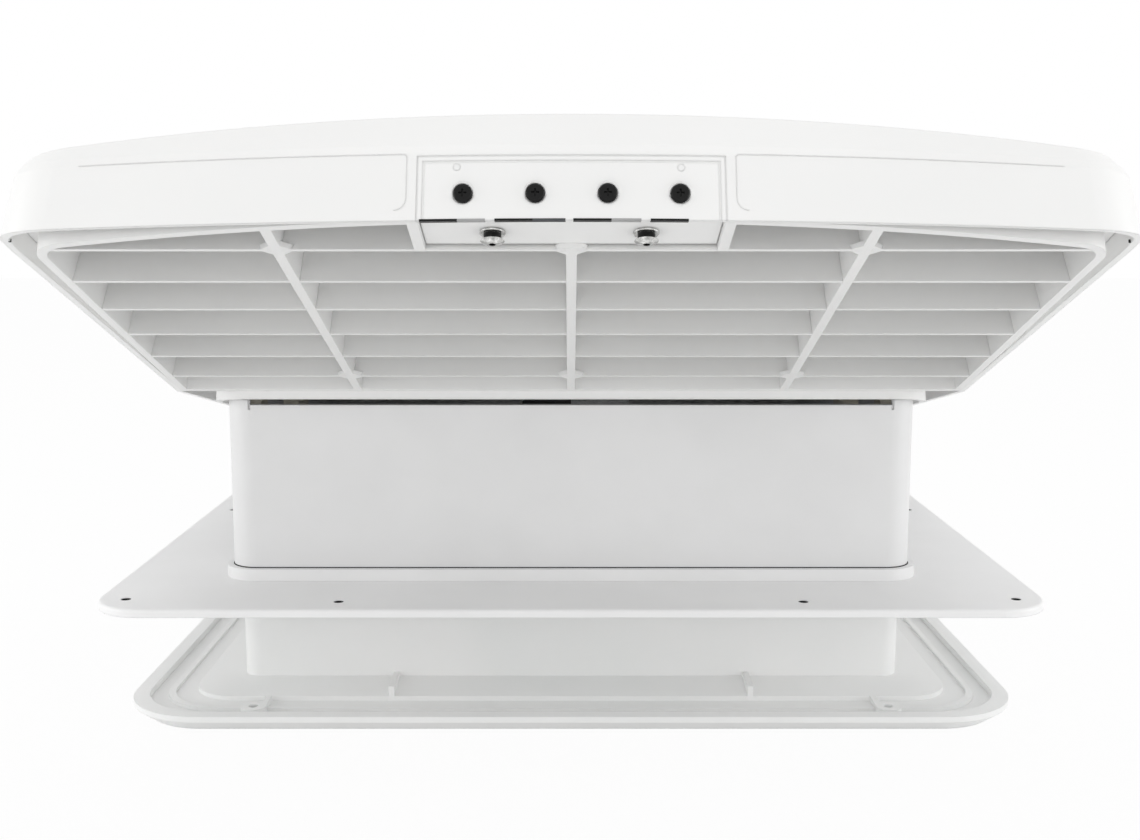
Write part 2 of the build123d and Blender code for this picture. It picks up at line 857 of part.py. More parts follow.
def hinge_pin(side):
    x = side * hinge_place
    half = hinge_pin_length / 2
    body = crosswise(hinge_pin_radius, hinge_y, hinge_level, x - half, x + half)
    body += crosswise(hinge_pin_radius + hinge_pin_head, hinge_y, hinge_level,
                      x + side * half - hinge_pin_head / 2, x + side * half + hinge_pin_head / 2)
    return body


def hood_lugs():
    body = None
    for side in (-1, 1):
        for end in (-1, 1):
            inner = side * hinge_place + end * (knuckle_width / 2 + seat_gap)
            outer = inner + end * lug_thickness
            left, right = min(inner, outer), max(inner, outer)
            lug = crosswise(lug_radius, hinge_y, hinge_level, left, right)
            lug += block(left, right, hinge_y, hood_rear - hood_wall / 2, hinge_level - lug_radius,
                         hinge_level + lug_radius)
            lug -= crosswise(hinge_pin_radius + running_gap, hinge_y, hinge_level, left - overrun, right + overrun)
            body = lug if body is None else body + lug
    return body


# Hood shell, built closed: stacked outlines under a crowned top
def hood_outline(inset, level):
    half = hood_half_width - inset
    rear = hood_rear - inset
    bow = front_bow_radius - inset
    centre = hood_front + front_bow_radius
    corner = centre - math.sqrt(bow ** 2 - half ** 2)
    border = Polyline((-half, corner), (-half, rear), (half, rear), (half, corner))
    border += ThreePointArc((half, corner), (0, centre - bow), (-half, corner))
    face = make_face(border)
    face = fillet(face.vertices(), hood_corner - inset * corner_keep_share)
    return Pos(0, 0, level) * face


def crown_block(drop):
    top = hood_top - drop
    half = hood_half_width + overrun
    sag = crown_width_radius - math.sqrt(crown_width_radius ** 2 - half ** 2)
    border = Polyline((half, top - sag), (half, 0), (-half, 0), (-half, top - sag))
    border += ThreePointArc((-half, top - sag), (0, top), (half, top - sag))
    face = Plane.XZ * make_face(border)
    reach = math.degrees(math.asin(-hood_front * crown_reach_share / crown_length_radius))
    axis = Axis((0, 0, top - crown_length_radius), (1, 0, 0))
    return revolve(face.rotate(axis, -reach), axis, 2 * reach)


def hood_mass(offset):
    shoulder = hood_top + overrun - hood_crease - hood_band
    shoulder_inset = shoulder * math.tan(math.radians(hood_shoulder_slope))
    steps = [
        (0, 0),
        (hood_crease - hood_lean_depth, 0),
        (hood_crease, hood_lean),
        (hood_crease + hood_band, hood_lean + hood_band_step),
        (hood_top + overrun, hood_lean + hood_band_step + shoulder_inset),
    ]
    stack = loft([hood_outline(inset + offset, level) for level, inset in steps], ruled=True)
    return stack & crown_block(offset)


def rim_cut():
    kink = hinge_y - visor_kink_reach
    corner = hinge_y - visor_corner_reach
    points = [
        (hood_rear + overrun, rear_rim_level),
        (kink, rear_rim_level),
        (corner, visor_corner_level),
        (hood_front - overrun, front_rim_level),
        (hood_front - overrun, -overrun),
        (hood_rear + overrun, -overrun),
    ]
    half = hood_half_width + overrun
    return side_profile(points, -half, half)


hood_solid = hood_mass(0)
hood_cavity = hood_mass(hood_wall)
hood_inside = hood_mass(hood_wall + seat_gap)
hood_core = hood_mass(hood_wall / 2)
hood_skin = hood_solid - hood_cavity - rim_cut()


def cover_window(gap):
    half = cover_half_width + gap
    return block(-half, half, hood_front - overrun, hood_front + cover_depth, 0, hood_crease - cover_top_gap + gap)


def hood_shell():
    body = hood_skin - cover_window(seat_gap)
    body += hood_lugs()
    for x, y in grille_screw_places():
        foot = grille_flange_height(y) + (grille_flange + running_gap) / math.cos(grille_tilt)
        post = upright(grille_boss, x, y, foot + grille_boss * math.tan(grille_tilt), hood_top)
        post -= upright(grille_screw / 2 + running_gap, x, y, 0, hood_top - crown_drop(x, y) - hood_wall)
        body += post & hood_core
    return body


def crown_drop(x, y):
    across = crown_width_radius - math.sqrt(crown_width_radius ** 2 - x ** 2)
    along = crown_length_radius - math.sqrt(crown_length_radius ** 2 - y ** 2)
    return across + along


# Louvre grille, built flat with its lower face at zero and its rear edge at y zero
grille_y = -shaft_half - grille_gap
grille_tilt = math.radians(grille_slope)
slat_rake = math.tan(math.radians(slat_lean))


def placed_grille(shape):
    return Pos(0, grille_y, grille_level) * Rot(-grille_slope, 0, 0) * shape


def grille_outline(inset):
    half = grille_half_width - inset
    bow = grille_bow_radius - inset
    centre = grille_bow_radius - grille_length
    corner = centre - math.sqrt(bow ** 2 - half ** 2)
    border = Polyline((-half, corner), (-half, -inset), (half, -inset), (half, corner))
    border += ThreePointArc((half, corner), (0, centre - bow), (-half, corner))
    face = make_face(border)
    front = face.vertices().group_by(Axis.Y)[0]
    return fillet(front, grille_corner - inset)


def grille_flange_height(y):
    # lower face of the grille's flange at a place along the vent
    along = (grille_y - y) / math.cos(grille_tilt)
    rise = (grille_depth - grille_flange) / math.cos(grille_tilt)
    return grille_level + along * math.sin(grille_tilt) + rise


def grille_seat_height(y):
    # level seat for a screw's head, cut into the sloping flange
    return grille_flange_height(y) + grille_screw * head_width_share / 2 * math.tan(grille_tilt)


def grille_screw_places():
    front = hood_front + hood_corner + grille_screw_side
    side = hood_half_width - grille_screw_side
    rear = grille_y - grille_screw_rear
    return [(x, y) for y in (front, rear) for x in (-side, side)]


def slat(along):
    half = slat_thickness / 2
    top = grille_depth - grille_flange
    shift = top * slat_rake
    points = [(-along - half, 0), (-along + half, 0), (-along + half + shift, top), (-along - half + shift, top)]
    reach = grille_half_width - grille_wall / 2
    return side_profile(points, -reach, reach)


def slat_places():
    return [slat_first + slat_pitch * count for count in range(slat_count)]


def grille_inner():
    return extrude(grille_outline(grille_wall), grille_depth)


def grille_bars():
    pocket_half = cover_half_width + seat_gap
    top = grille_depth - grille_flange
    bars = None
    for x in (-bar_place, 0, bar_place):
        bar = block(x - bar_width / 2, x + bar_width / 2, -grille_length, 0, 0, top)
        bars = bar if bars is None else bars + bar
    # the pocket's side walls end at the rear face of the last slat
    end = slat_thickness / 2 - slat_places()[-1]
    wall = [(-grille_length, 0), (end, 0), (end + top * slat_rake, top), (-grille_length, top)]
    for left in (-pocket_half - cover_frame, pocket_half):
        bars += side_profile(wall, left, left + cover_frame)
    return bars


def grille_slats():
    pieces = []
    inner = grille_inner()
    bars = grille_bars()
    for along in slat_places():
        row = (slat(along) & inner) - bars
        pieces += [placed_grille(piece) for piece in row.solids()]
    return group(pieces)


def louvre_grille():
    outer = extrude(grille_outline(0), grille_depth)
    inner = grille_inner()
    body = outer - Pos(0, 0, -overrun) * extrude(grille_outline(grille_wall), grille_depth + 2 * overrun)
    bars = grille_bars()
    for x in (-bar_place, 0, bar_place):
        for along in (slat_places()[0], slat_places()[-1]):
            half = gusset / 2
            turned = Rot(0, 0, 45) * block(-half, half, -half, half, 0, gusset_depth)
            bars += (Pos(x, -along, 0) * turned) - slat(along)
    pocket_half = cover_half_width + seat_gap
    body += bars & inner
    pocket_back = slat_places()[-1] + slat_thickness
    body -= block(-pocket_half, pocket_half, -grille_length - overrun, -pocket_back, -overrun,
                  grille_depth + overrun)
    body = placed_grille(body)
    body += lip()
    flange = placed_grille(block(-hood_half_width, hood_half_width, -hood_reach, lip_return,
                                 grille_depth - grille_flange, grille_depth))
    flange -= placed_grille(Pos(0, 0, -overrun) * extrude(grille_outline(grille_wall), grille_depth + 2 * overrun))
    flange &= hood_inside
    flange -= block(-pocket_half, pocket_half, hood_front - overrun, hood_front + cover_depth, 0, hood_top)
    flange -= block(-hood_half_width, hood_half_width, grille_y + lip_wall, 0, 0, hood_top)
    body += flange
    body -= rim_side_cut()
    for x, y in grille_screw_places():
        body -= upright(grille_screw / 2 + running_gap, x, y, 0, hood_top)
        body -= upright(grille_screw * head_width_share / 2 + running_gap, x, y, 0, grille_seat_height(y))
    for x in (-catch_screw_left, catch_screw_right):
        body -= catch_rod(x, catch_screw_shank / 2 + running_gap)
    return body


def rim_side_cut():
    # keeps the grille's front wall behind the hood's front
    return placed_grille(block(-hood_half_width, hood_half_width, -hood_reach, -grille_length, -overrun,
                               grille_depth)) - hood_inside


def lip():
    outer = rounded(lip_half_width, -grille_y, lip_corner, 0, grille_depth)
    inner_half = lip_half_width - lip_wall
    inner = rounded(inner_half, -grille_y - lip_wall, lip_corner - lip_wall, -overrun, grille_depth + overrun)
    ring = Pos(0, 0, grille_level - lip_drop) * (outer - inner)
    return ring & block(-lip_half_width, lip_half_width, grille_y, grille_y + lip_return, 0, hood_top)


def grille_screws():
    pieces = []
    for x, y in grille_screw_places():
        low = grille_seat_height(y)
        length = grille_screw_length
        pieces.append(Pos(x, y, low) * Rot(180, 0, 0) * screw(grille_screw, length))
    return group(pieces)


# Frame and seal that close on the housing's top edge
def hood_inner_frame():
    outer = shaft_half + inner_frame_gap + inner_frame_wall
    inner = outer - inner_frame_wall
    corner = shaft_corner + inner_frame_gap + inner_frame_wall
    seat = shaft_top + seat_gap + seal_thickness
    low = seat - inner_frame_skirt
    body = rounded(outer, outer, corner, low, hood_top)
    body -= rounded(inner, inner, corner - inner_frame_wall, low - overrun, hood_top + overrun)
    ledge = rounded(outer, outer, corner, seat, seat + seal_ledge)
    hole = shaft_half - seal_width
    ledge -= rounded(hole, hole, shaft_corner, seat - overrun, seat + seal_ledge + overrun)
    return (body + ledge) & hood_inside


def hood_seal():
    low = shaft_top + seat_gap
    outer = shaft_half + inner_frame_gap - seat_gap
    hole = shaft_half - seal_width
    body = rounded(outer, outer, shaft_corner + inner_frame_gap, low, low + seal_thickness)
    return body - rounded(hole, hole, shaft_corner, low - overrun, low + seal_thickness + overrun)


# Cover at the front of the hood, with four dark and two bright screws
def cover_floor_plate(gap):
    half = cover_half_width - gap
    back = slat_places()[-1] + slat_thickness / 2 + seat_gap
    plate = block(-half, half, -grille_length - overrun, -back, cover_lift, cover_lift + cover_floor)
    return placed_grille(plate)


def front_cover():
    body = (hood_skin & cover_window(0)) + (cover_floor_plate(0) & hood_solid)
    rise = front_rim_level
    front = hood_front - overrun
    back = hood_front + hood_wall + cover_slot_height
    for count in range(cover_slots):
        left = cover_slot_pitch * count - cover_slot_start
        body -= block(left, left + cover_slot_width, hood_front + hood_wall, back, 0, rise + cover_slot_height)
        body -= block(left, left + cover_slot_width, front, hood_front + hood_wall + seat_gap, 0, rise)
    left = cover_slot_pitch * cover_slots - cover_slot_start
    body -= block(left, left + cover_last_slot, hood_front + hood_wall, back, 0, rise + cover_slot_height)
    line = cover_half_width - cover_line_inset
    top = hood_crease - cover_top_gap - cover_line_inset
    groove = block(-line, line, front, hood_front + cover_depth, front_rim_level - overrun, top)
    groove -= block(cover_line - line, line - cover_line, front, hood_front + cover_depth, 0, top - cover_line)
    body -= groove - hood_mass(cover_line_depth)
    for x in cover_screw_places():
        body -= lengthwise(cover_screw_shank / 2 + running_gap, x, cover_screw_level, hood_front - overrun,
                           hood_front + cover_depth)
        body -= lengthwise(cover_screw / 2 + cover_seat_gap, x, cover_screw_level, hood_front - overrun,
                           cover_face(x, cover_screw_level) + cover_seat_depth)
    for x in (-catch_screw_left, catch_screw_right):
        body -= catch_rod(x, catch_screw_shank / 2 + running_gap)
    return body


def cover_screw_places():
    start = -cover_screw_pitch * (cover_screw_count - 1) / 2
    return [start + cover_screw_pitch * count for count in range(cover_screw_count)]


def cover_face(x, z):
    # y of the hood's front face at a width and a level
    inset = hood_lean * (z - hood_crease + hood_lean_depth) / hood_lean_depth
    bow = front_bow_radius - inset
    return hood_front + front_bow_radius - math.sqrt(bow ** 2 - x ** 2)


def cover_screws():
    pieces = []
    for x in cover_screw_places():
        place = Pos(x, cover_face(x, cover_screw_level) + cover_seat_depth, cover_screw_level)
        pieces.append(place * Rot(90, 0, 0) * screw(cover_screw_shank, cover_screw_length, cover_screw))
    return group(pieces)


def catch_rod(x, radius):
    along = slat_places()[-1] + catch_screw_inset
    return placed_grille(upright(radius, x, -along, -overrun, catch_screw_length + cover_lift))


def catch_screws():
    along = slat_places()[-1] + catch_screw_inset
    pieces = []
    for x in (-catch_screw_left, catch_screw_right):
        one = Pos(x, -along, cover_lift) * Rot(180, 0, 0) * screw(catch_screw_shank, catch_screw_length, catch_screw)
        pieces.append(placed_grille(one))
    return group(pieces)


# Lift gear
def arm_length():
    return math.hypot(hinge_y - lift_y, lift_level - hinge_level)


def arm_rise():
    return math.degrees(math.atan2(lift_level - hinge_level, hinge_y - lift_y))


def sector_radius():
    return arm_length() - pinion_radius


def about_hinge(radius, rise):
    angle = math.radians(rise)
    return (hinge_y - radius * math.cos(angle), hinge_level + radius * math.sin(angle))


def lift_rack(side):
    pitch = math.degrees(math.pi * gear_module / sector_radius())
    tip = sector_radius() + addendum_share * gear_module
    root = sector_radius() - dedendum_share * gear_module
    start = arm_rise() - open_angle
    first = -round(rack_low_angle / pitch)
    last = round((open_angle + rack_high_angle) / pitch)
    low = start + (first - 1) * pitch
    points = [about_hinge(root - rack_depth, low), about_hinge(root, low)]
    for count in range(first, last):
        middle = start + (count + 1 / 2) * pitch
        for radius, offset in ((root, -tooth_share), (tip, -tip_share), (tip, tip_share), (root, tooth_share)):
            points.append(about_hinge(radius, middle + offset * pitch))
    high = math.degrees(math.asin((hood_top - hinge_level) / sector_radius()))
    points += [about_hinge(root, high), about_hinge(root - rack_depth, high)]
    x = side * rack_place
    body = side_profile(points, x - rack_width / 2, x + rack_width / 2)
    near = hinge_y - sector_radius()
    foot_top = hood_top - crown_drop(rack_place + rack_foot_width / 2, 0) - hood_wall
    body += block(x - rack_foot_width / 2, x + rack_foot_width / 2, near, near + rack_foot,
                  foot_top - rack_foot_height, hood_top)
    return body & hood_inside


def gear_outline():
    pitch = 360 / pinion_teeth
    tip = pinion_radius + addendum_share * gear_module
    root = pinion_radius - dedendum_share * gear_module
    toward = math.degrees(math.atan2(hinge_level - lift_level, hinge_y - lift_y))
    points = []
    for count in range(pinion_teeth):
        middle = toward + pitch * count
        for radius, offset in ((root, -tooth_share), (tip, -tip_share), (tip, tip_share), (root, tooth_share)):
            angle = math.radians(middle + offset * pitch)
            points.append((lift_y + radius * math.cos(angle), lift_level + radius * math.sin(angle)))
    return points


def lift_pinion(side):
    x = side * rack_place
    half = pinion_width / 2
    body = side_profile(gear_outline(), x - half, x + half)
    return body - crosswise(lift_shaft_radius + running_gap, lift_y, lift_level, x - half - overrun, x + half + overrun)


def lift_shaft():
    reach = shaft_inner - bearing_plate - seat_gap
    return crosswise(lift_shaft_radius, lift_y, lift_level, -reach, reach)


def bearing_screw_rods(radius):
    rods = []
    for side in (-1, 1):
        inner = side * (shaft_inner - overrun)
        outer = side * (shaft_half + overrun)
        for y in (-bearing_plate_width / 2 + lift_screw, bearing_plate_width / 2 - lift_screw):
            rods.append(crosswise(radius, lift_y + y, lift_level - bearing_plate_height + bearing_radius + lift_screw,
                                  min(inner, outer), max(inner, outer)))
    return rods


def shaft_bearing(side):
    wall = side * shaft_inner
    plate = side * (shaft_inner - bearing_plate)
    nose = side * (shaft_inner - bearing_plate - bearing_width)
    half = bearing_plate_width / 2
    near = max(lift_y - half, -shaft_inner + shaft_corner)
    body = block(min(wall, plate), max(wall, plate), near, lift_y + half,
                 lift_level + bearing_radius - bearing_plate_height, lift_level + bearing_radius)
    body += crosswise(bearing_radius, lift_y, lift_level, min(plate, nose), max(plate, nose))
    body -= crosswise(lift_shaft_radius + running_gap, lift_y, lift_level,
                      min(plate, nose - side * overrun), max(plate, nose - side * overrun))
    for rod in bearing_screw_rods(lift_screw / 2 + running_gap):
        body -= rod
    return body


motor_y = -shaft_inner + lift_motor_radius + seat_gap
gearbox_top = lift_level + gearbox_height / 2 - bearing_gap
gearbox_bottom = gearbox_top - gearbox_height


def lift_gearbox():
    near = -shaft_inner + seat_gap
    far = lift_y + gearbox_back
    body = block(0, gearbox_length, near, far, gearbox_bottom, gearbox_top)
    body = fillet(body.edges().filter_by(Axis.X), gearbox_corner)
    body -= crosswise(lift_shaft_radius + running_gap, lift_y, lift_level, -overrun, gearbox_length + overrun)
    return body


def lift_motor_can():
    level = gearbox_bottom + gearbox_height / 2
    body = crosswise(lift_motor_radius, motor_y, level, -lift_motor_length, 0)
    body = fillet(body.edges().group_by(Axis.X)[0], lift_motor_cap / 2)
    body += crosswise(lift_motor_cap_radius, motor_y, level, -lift_motor_length - lift_motor_cap, -lift_motor_length)
    return body


def bracket_screw_rods(radius):
    level = gearbox_bottom - lift_bracket_height / 2
    rods = []
    for x in (gearbox_length / 2 - lift_bracket_width / 3, gearbox_length / 2 + lift_bracket_width / 3):
        rods.append(lengthwise(radius, x, level, -shaft_inner - lift_hole_depth, -shaft_inner + lift_bracket_thickness + overrun))
    return rods


def lift_bracket():
    left = gearbox_length / 2 - lift_bracket_width / 2
    right = gearbox_length / 2 + lift_bracket_width / 2
    near = -shaft_inner
    body = block(left, right, near, lift_y + gearbox_back, gearbox_bottom - lift_bracket_thickness, gearbox_bottom)
    body += block(left, right, near, near + lift_bracket_thickness, gearbox_bottom - lift_bracket_height,
                  gearbox_bottom)
    for rod in bracket_screw_rods(lift_screw / 2 + running_gap):
        body -= rod
    return body


def lift_screws():
    pieces = []
    level = gearbox_bottom - lift_bracket_height / 2
    for x in (gearbox_length / 2 - lift_bracket_width / 3, gearbox_length / 2 + lift_bracket_width / 3):
        place = Pos(x, -shaft_inner + lift_bracket_thickness, level)
        pieces.append(place * Rot(-90, 0, 0) * screw(lift_screw, lift_screw_length))
    for side in (-1, 1):
        for y in (-bearing_plate_width / 2 + lift_screw, bearing_plate_width / 2 - lift_screw):
            place = Pos(side * (shaft_inner - bearing_plate), lift_y + y,
                        lift_level - bearing_plate_height + bearing_radius + lift_screw)
            pieces.append(place * Rot(0, -90 * side, 0) * screw(lift_screw, lift_screw_length))
    return group(pieces)


# The fixed pieces
save("base_housing", base_housing())
save("roof_flange", roof_flange())
save("collar_screws", collar_screws())
save("ceiling_trim", ceiling_trim())
save("fan_deck", fan_deck())
save("deck_screws", screws_down(deck_screw_places(), ledge_level + deck_thickness, deck_screw, deck_screw_length))
save("motor_spider", motor_spider())
save("spider_screws", screws_down(spider_screw_places(), ledge_level + deck_thickness, spider_screw,
                                  spider_screw_length))
save("fan_motor_can", fan_motor_can())
save("fan_motor_cap", fan_motor_cap())
save("fan_motor_screws", screws_down(motor_screw_places(), ledge_level, motor_screw, motor_screw_length))
save("screen_frame", screen_frame())
save("insect_screen", insect_screen())
save("control_panel", control_panel())
save("control_board", control_board())
save("display_window", display_window())
save("junction_box", junction_box())
save("junction_box_lid", junction_box_lid())
save("cable_gland", cable_gland())
save("lift_gearbox", lift_gearbox())
save("lift_motor_can", lift_motor_can())
save("lift_bracket", lift_bracket())
save("lift_screws", lift_screws())
save("hinge_screws", hinge_screws())
for side, word in ((-1, "left"), (1, "right")):
    save("hinge_bracket_" + word, hinge_bracket(side))
    save("hinge_pin_" + word, hinge_pin(side))
    save("shaft_bearing_" + word, shaft_bearing(side))

# The fan
save("motor_shaft", motor_shaft())
save("fan_rotor", fan_rotor())
save("fan_nut", fan_nut())

# Knobs and buttons
knob_names = ["front_left", "front_right", "rear_left", "rear_right"]
for word, (x, y) in zip(knob_names, knob_places()):
    save("screen_knob_" + word, screen_knob(x, y))
for count, x in enumerate(button_places()):
    save("control_button_" + str(count + 1), control_button(x))

# The lift gear
save("lift_shaft", lift_shaft())
for side, word in ((-1, "left"), (1, "right")):
    save("lift_pinion_" + word, lift_pinion(side))
    save("lift_rack_" + word, opened(lift_rack(side)))

# The hood and what it carries, opened about the hinge
save("hood_shell", opened(hood_shell()))
save("hood_inner_frame", opened(hood_inner_frame()))
save("hood_seal", opened(hood_seal()))
save("louvre_grille", opened(louvre_grille()))
save("grille_slats", opened(grille_slats()))
save("grille_screws", opened(grille_screws()))
save("front_cover", opened(front_cover()))
save("cover_screws", opened(cover_screws()))
save("catch_screws", opened(catch_screws()))
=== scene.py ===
import bpy
import json
import math
import bmesh
from mathutils import Vector, Matrix


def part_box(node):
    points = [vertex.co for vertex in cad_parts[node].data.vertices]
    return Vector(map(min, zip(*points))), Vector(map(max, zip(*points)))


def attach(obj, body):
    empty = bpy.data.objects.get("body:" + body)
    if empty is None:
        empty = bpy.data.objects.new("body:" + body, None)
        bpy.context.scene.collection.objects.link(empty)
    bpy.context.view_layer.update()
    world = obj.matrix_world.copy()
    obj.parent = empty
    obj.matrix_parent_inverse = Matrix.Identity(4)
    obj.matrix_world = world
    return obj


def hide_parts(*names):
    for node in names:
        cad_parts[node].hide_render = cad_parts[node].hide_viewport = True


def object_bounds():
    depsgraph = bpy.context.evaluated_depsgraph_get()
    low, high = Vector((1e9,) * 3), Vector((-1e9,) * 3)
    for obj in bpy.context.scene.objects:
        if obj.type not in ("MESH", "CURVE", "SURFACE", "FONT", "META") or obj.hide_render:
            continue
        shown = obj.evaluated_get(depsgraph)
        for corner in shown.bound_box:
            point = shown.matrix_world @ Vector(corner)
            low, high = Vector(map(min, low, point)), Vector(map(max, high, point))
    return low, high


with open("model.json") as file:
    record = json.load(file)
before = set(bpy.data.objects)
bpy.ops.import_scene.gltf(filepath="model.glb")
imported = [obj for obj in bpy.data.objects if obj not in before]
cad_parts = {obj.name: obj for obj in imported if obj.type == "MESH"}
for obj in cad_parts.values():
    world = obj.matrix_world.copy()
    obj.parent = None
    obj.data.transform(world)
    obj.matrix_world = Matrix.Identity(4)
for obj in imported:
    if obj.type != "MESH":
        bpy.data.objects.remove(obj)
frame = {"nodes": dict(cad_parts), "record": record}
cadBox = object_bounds()
nodes = frame["nodes"]
print("frame loaded:", len(nodes), "nodes")

mm = 0.001


def linear(hexColour):
    # sRGB hex to the linear colour that the shaders take
    digits = hexColour.lstrip("#")
    parts = [int(digits[place:place + 2], 16) / 255 for place in (0, 2, 4)]
    return [part / 12.92 if part <= 0.04045 else ((part + 0.055) / 1.055) ** 2.4 for part in parts] + [1.0]


def addNode(tree, kind, settings=None, sockets=None):
    # one node with its settings, and its sockets set to values or linked to outputs
    node = tree.nodes.new(kind)
    for name, value in (settings or {}).items():
        setattr(node, name, value)
    for name, value in (sockets or {}).items():
        if isinstance(value, bpy.types.NodeSocket):
            tree.links.new(value, node.inputs[name])
        else:
            node.inputs[name].default_value = value
    return node


def newMaterial(name):
    material = bpy.data.materials.new(name)
    material.use_nodes = True
    tree = material.node_tree
    tree.nodes.clear()
    output = addNode(tree, "ShaderNodeOutputMaterial")
    return material, tree, output


# what all the plastics share: how far the gloss strays, how strong the relief is, how deep light enters
plasticShare = {"shinier": 0.05, "duller": 0.07, "swell": 0.25, "grain": 0.35, "lightDepth": 1.2,
                "lightTint": (1.0, 0.95, 0.9)}
metalShare = {"shinier": 0.06, "duller": 0.1, "grain": 0.4}
toneEdges = (0.3, 0.7)


def toneRamp(tree, pattern, look):
    # the look's dark and light colours, laid over a noise pattern
    tone = addNode(tree, "ShaderNodeValToRGB", None, {"Fac": pattern})
    for element, edge, colour in zip(tone.color_ramp.elements, toneEdges, (look["dark"], look["light"])):
        element.position = edge
        element.color = linear(colour)
    return tone.outputs["Color"]


def mouldedPlastic(name, look):
    # injection-moulded plastic: pale, satin, with a fine spark-eroded grain, soft edges and faint
    # flow clouds, so that large faces aren't one flat tone
    material, tree, output = newMaterial(name)
    place = addNode(tree, "ShaderNodeTexCoord").outputs["Object"]
    clouds = addNode(tree, "ShaderNodeTexNoise", None, {
        "Vector": place, "Scale": 1 / (look["cloudSize"] * mm), "Detail": 3.0, "Roughness": 0.55})
    dust = addNode(tree, "ShaderNodeTexNoise", None, {
        "Vector": place, "Scale": 1 / (look["grainSize"] * 6 * mm), "Detail": 5.0, "Roughness": 0.7})
    gloss = addNode(tree, "ShaderNodeMapRange", None, {
        "Value": dust.outputs["Fac"], "To Min": look["roughness"] - plasticShare["shinier"],
        "To Max": look["roughness"] + plasticShare["duller"]})
    grain = addNode(tree, "ShaderNodeTexNoise", None, {
        "Vector": place, "Scale": 1 / (look["grainSize"] * mm), "Detail": 2.0, "Roughness": 0.5})
    wave = addNode(tree, "ShaderNodeTexNoise", None, {
        "Vector": place, "Scale": 1 / (look["waveSize"] * mm), "Detail": 1.0})
    soft = addNode(tree, "ShaderNodeBevel", {"samples": 4}, {"Radius": look["edge"] * mm})
    swell = addNode(tree, "ShaderNodeBump", None, {
        "Height": wave.outputs["Fac"], "Normal": soft.outputs["Normal"], "Strength": plasticShare["swell"],
        "Distance": look["waveDepth"] * mm})
    bump = addNode(tree, "ShaderNodeBump", None, {
        "Height": grain.outputs["Fac"], "Normal": swell.outputs["Normal"], "Strength": plasticShare["grain"],
        "Distance": look["grainDepth"] * mm})
    shader = addNode(tree, "ShaderNodeBsdfPrincipled", None, {
        "Base Color": toneRamp(tree, clouds.outputs["Fac"], look), "Roughness": gloss.outputs["Result"],
        "Normal": bump.outputs["Normal"], "IOR": look["ior"],
        "Subsurface Weight": look.get("scatter", 0.0), "Subsurface Radius": plasticShare["lightTint"],
        "Subsurface Scale": plasticShare["lightDepth"] * mm})
    tree.links.new(shader.outputs["BSDF"], output.inputs["Surface"])
    return material


def coatedMetal(name, look):
    # plated, painted or cast metal: streaks along one axis for drawn or turned stock, blotches for cast
    material, tree, output = newMaterial(name)
    place = addNode(tree, "ShaderNodeTexCoord").outputs["Object"]
    stretch = addNode(tree, "ShaderNodeMapping", None, {"Vector": place, "Scale": look.get("stretch", (1, 1, 1))})
    grain = addNode(tree, "ShaderNodeTexNoise", None, {
        "Vector": stretch.outputs["Vector"], "Scale": 1 / (look["grainSize"] * mm), "Detail": 4.0,
        "Roughness": 0.6})
    gloss = addNode(tree, "ShaderNodeMapRange", None, {
        "Value": grain.outputs["Fac"], "To Min": look["roughness"] - metalShare["shinier"],
        "To Max": look["roughness"] + metalShare["duller"]})
    soft = addNode(tree, "ShaderNodeBevel", {"samples": 4}, {"Radius": look["edge"] * mm})
    bump = addNode(tree, "ShaderNodeBump", None, {
        "Height": grain.outputs["Fac"], "Normal": soft.outputs["Normal"], "Strength": metalShare["grain"],
        "Distance": look["grainDepth"] * mm})
    shader = addNode(tree, "ShaderNodeBsdfPrincipled", None, {
        "Base Color": toneRamp(tree, grain.outputs["Fac"], look), "Roughness": gloss.outputs["Result"],
        "Normal": bump.outputs["Normal"], "Metallic": look["metallic"],
        "Specular IOR Level": look.get("shine", 0.5)})
    tree.links.new(shader.outputs["BSDF"], output.inputs["Surface"])
    return material


# ASA hood, moulded and polished: the brightest white, with soft reflections
hoodLook = {"light": "#f4f4f3", "dark": "#f0f0ef", "roughness": 0.34, "ior": 1.52, "cloudSize": 120,
            "grainSize": 0.6, "grainDepth": 0.006, "waveSize": 45, "waveDepth": 0.05, "edge": 0.9,
            "scatter": 0.08}
# ABS grille: the same white, a little duller, thin ribs
grilleLook = {"light": "#f1f1f0", "dark": "#ededec", "roughness": 0.42, "ior": 1.53, "cloudSize": 60,
              "grainSize": 0.5, "grainDepth": 0.008, "waveSize": 30, "waveDepth": 0.03, "edge": 0.5,
              "scatter": 0.1}
# ABS housing: satin, with the faint clouds of a large moulded wall
housingLook = {"light": "#ebebeb", "dark": "#e5e5e5", "roughness": 0.4, "ior": 1.53, "cloudSize": 70,
               "grainSize": 0.7, "grainDepth": 0.01, "waveSize": 60, "waveDepth": 0.06, "edge": 0.8,
               "scatter": 0.06}
# ABS flange: painted light: a shade lighter than the housing, though the same white, to make up for the light that
# the hood keeps from it, so that its edge stands out
flangeBrightenedLook = {"light": "#f6f6f6", "dark": "#f1f1f1", "roughness": 0.4, "ior": 1.53, "cloudSize": 80,
              "grainSize": 0.7, "grainDepth": 0.01, "waveSize": 50, "waveDepth": 0.05, "edge": 0.7,
              "scatter": 0.06}
# ABS trim: painted light: the lightest white, lighter than the housing of the same plastic to make up for the
# light that it lacks; also the dullest, with a coarser grain that hides its flatness
trimBrightenedLook = {"light": "#f9f9f8", "dark": "#f4f5f4", "roughness": 0.45, "ior": 1.53, "cloudSize": 80,
            "grainSize": 0.8, "grainDepth": 0.02, "waveSize": 50, "waveDepth": 0.03, "edge": 0.7,
            "scatter": 0.06}
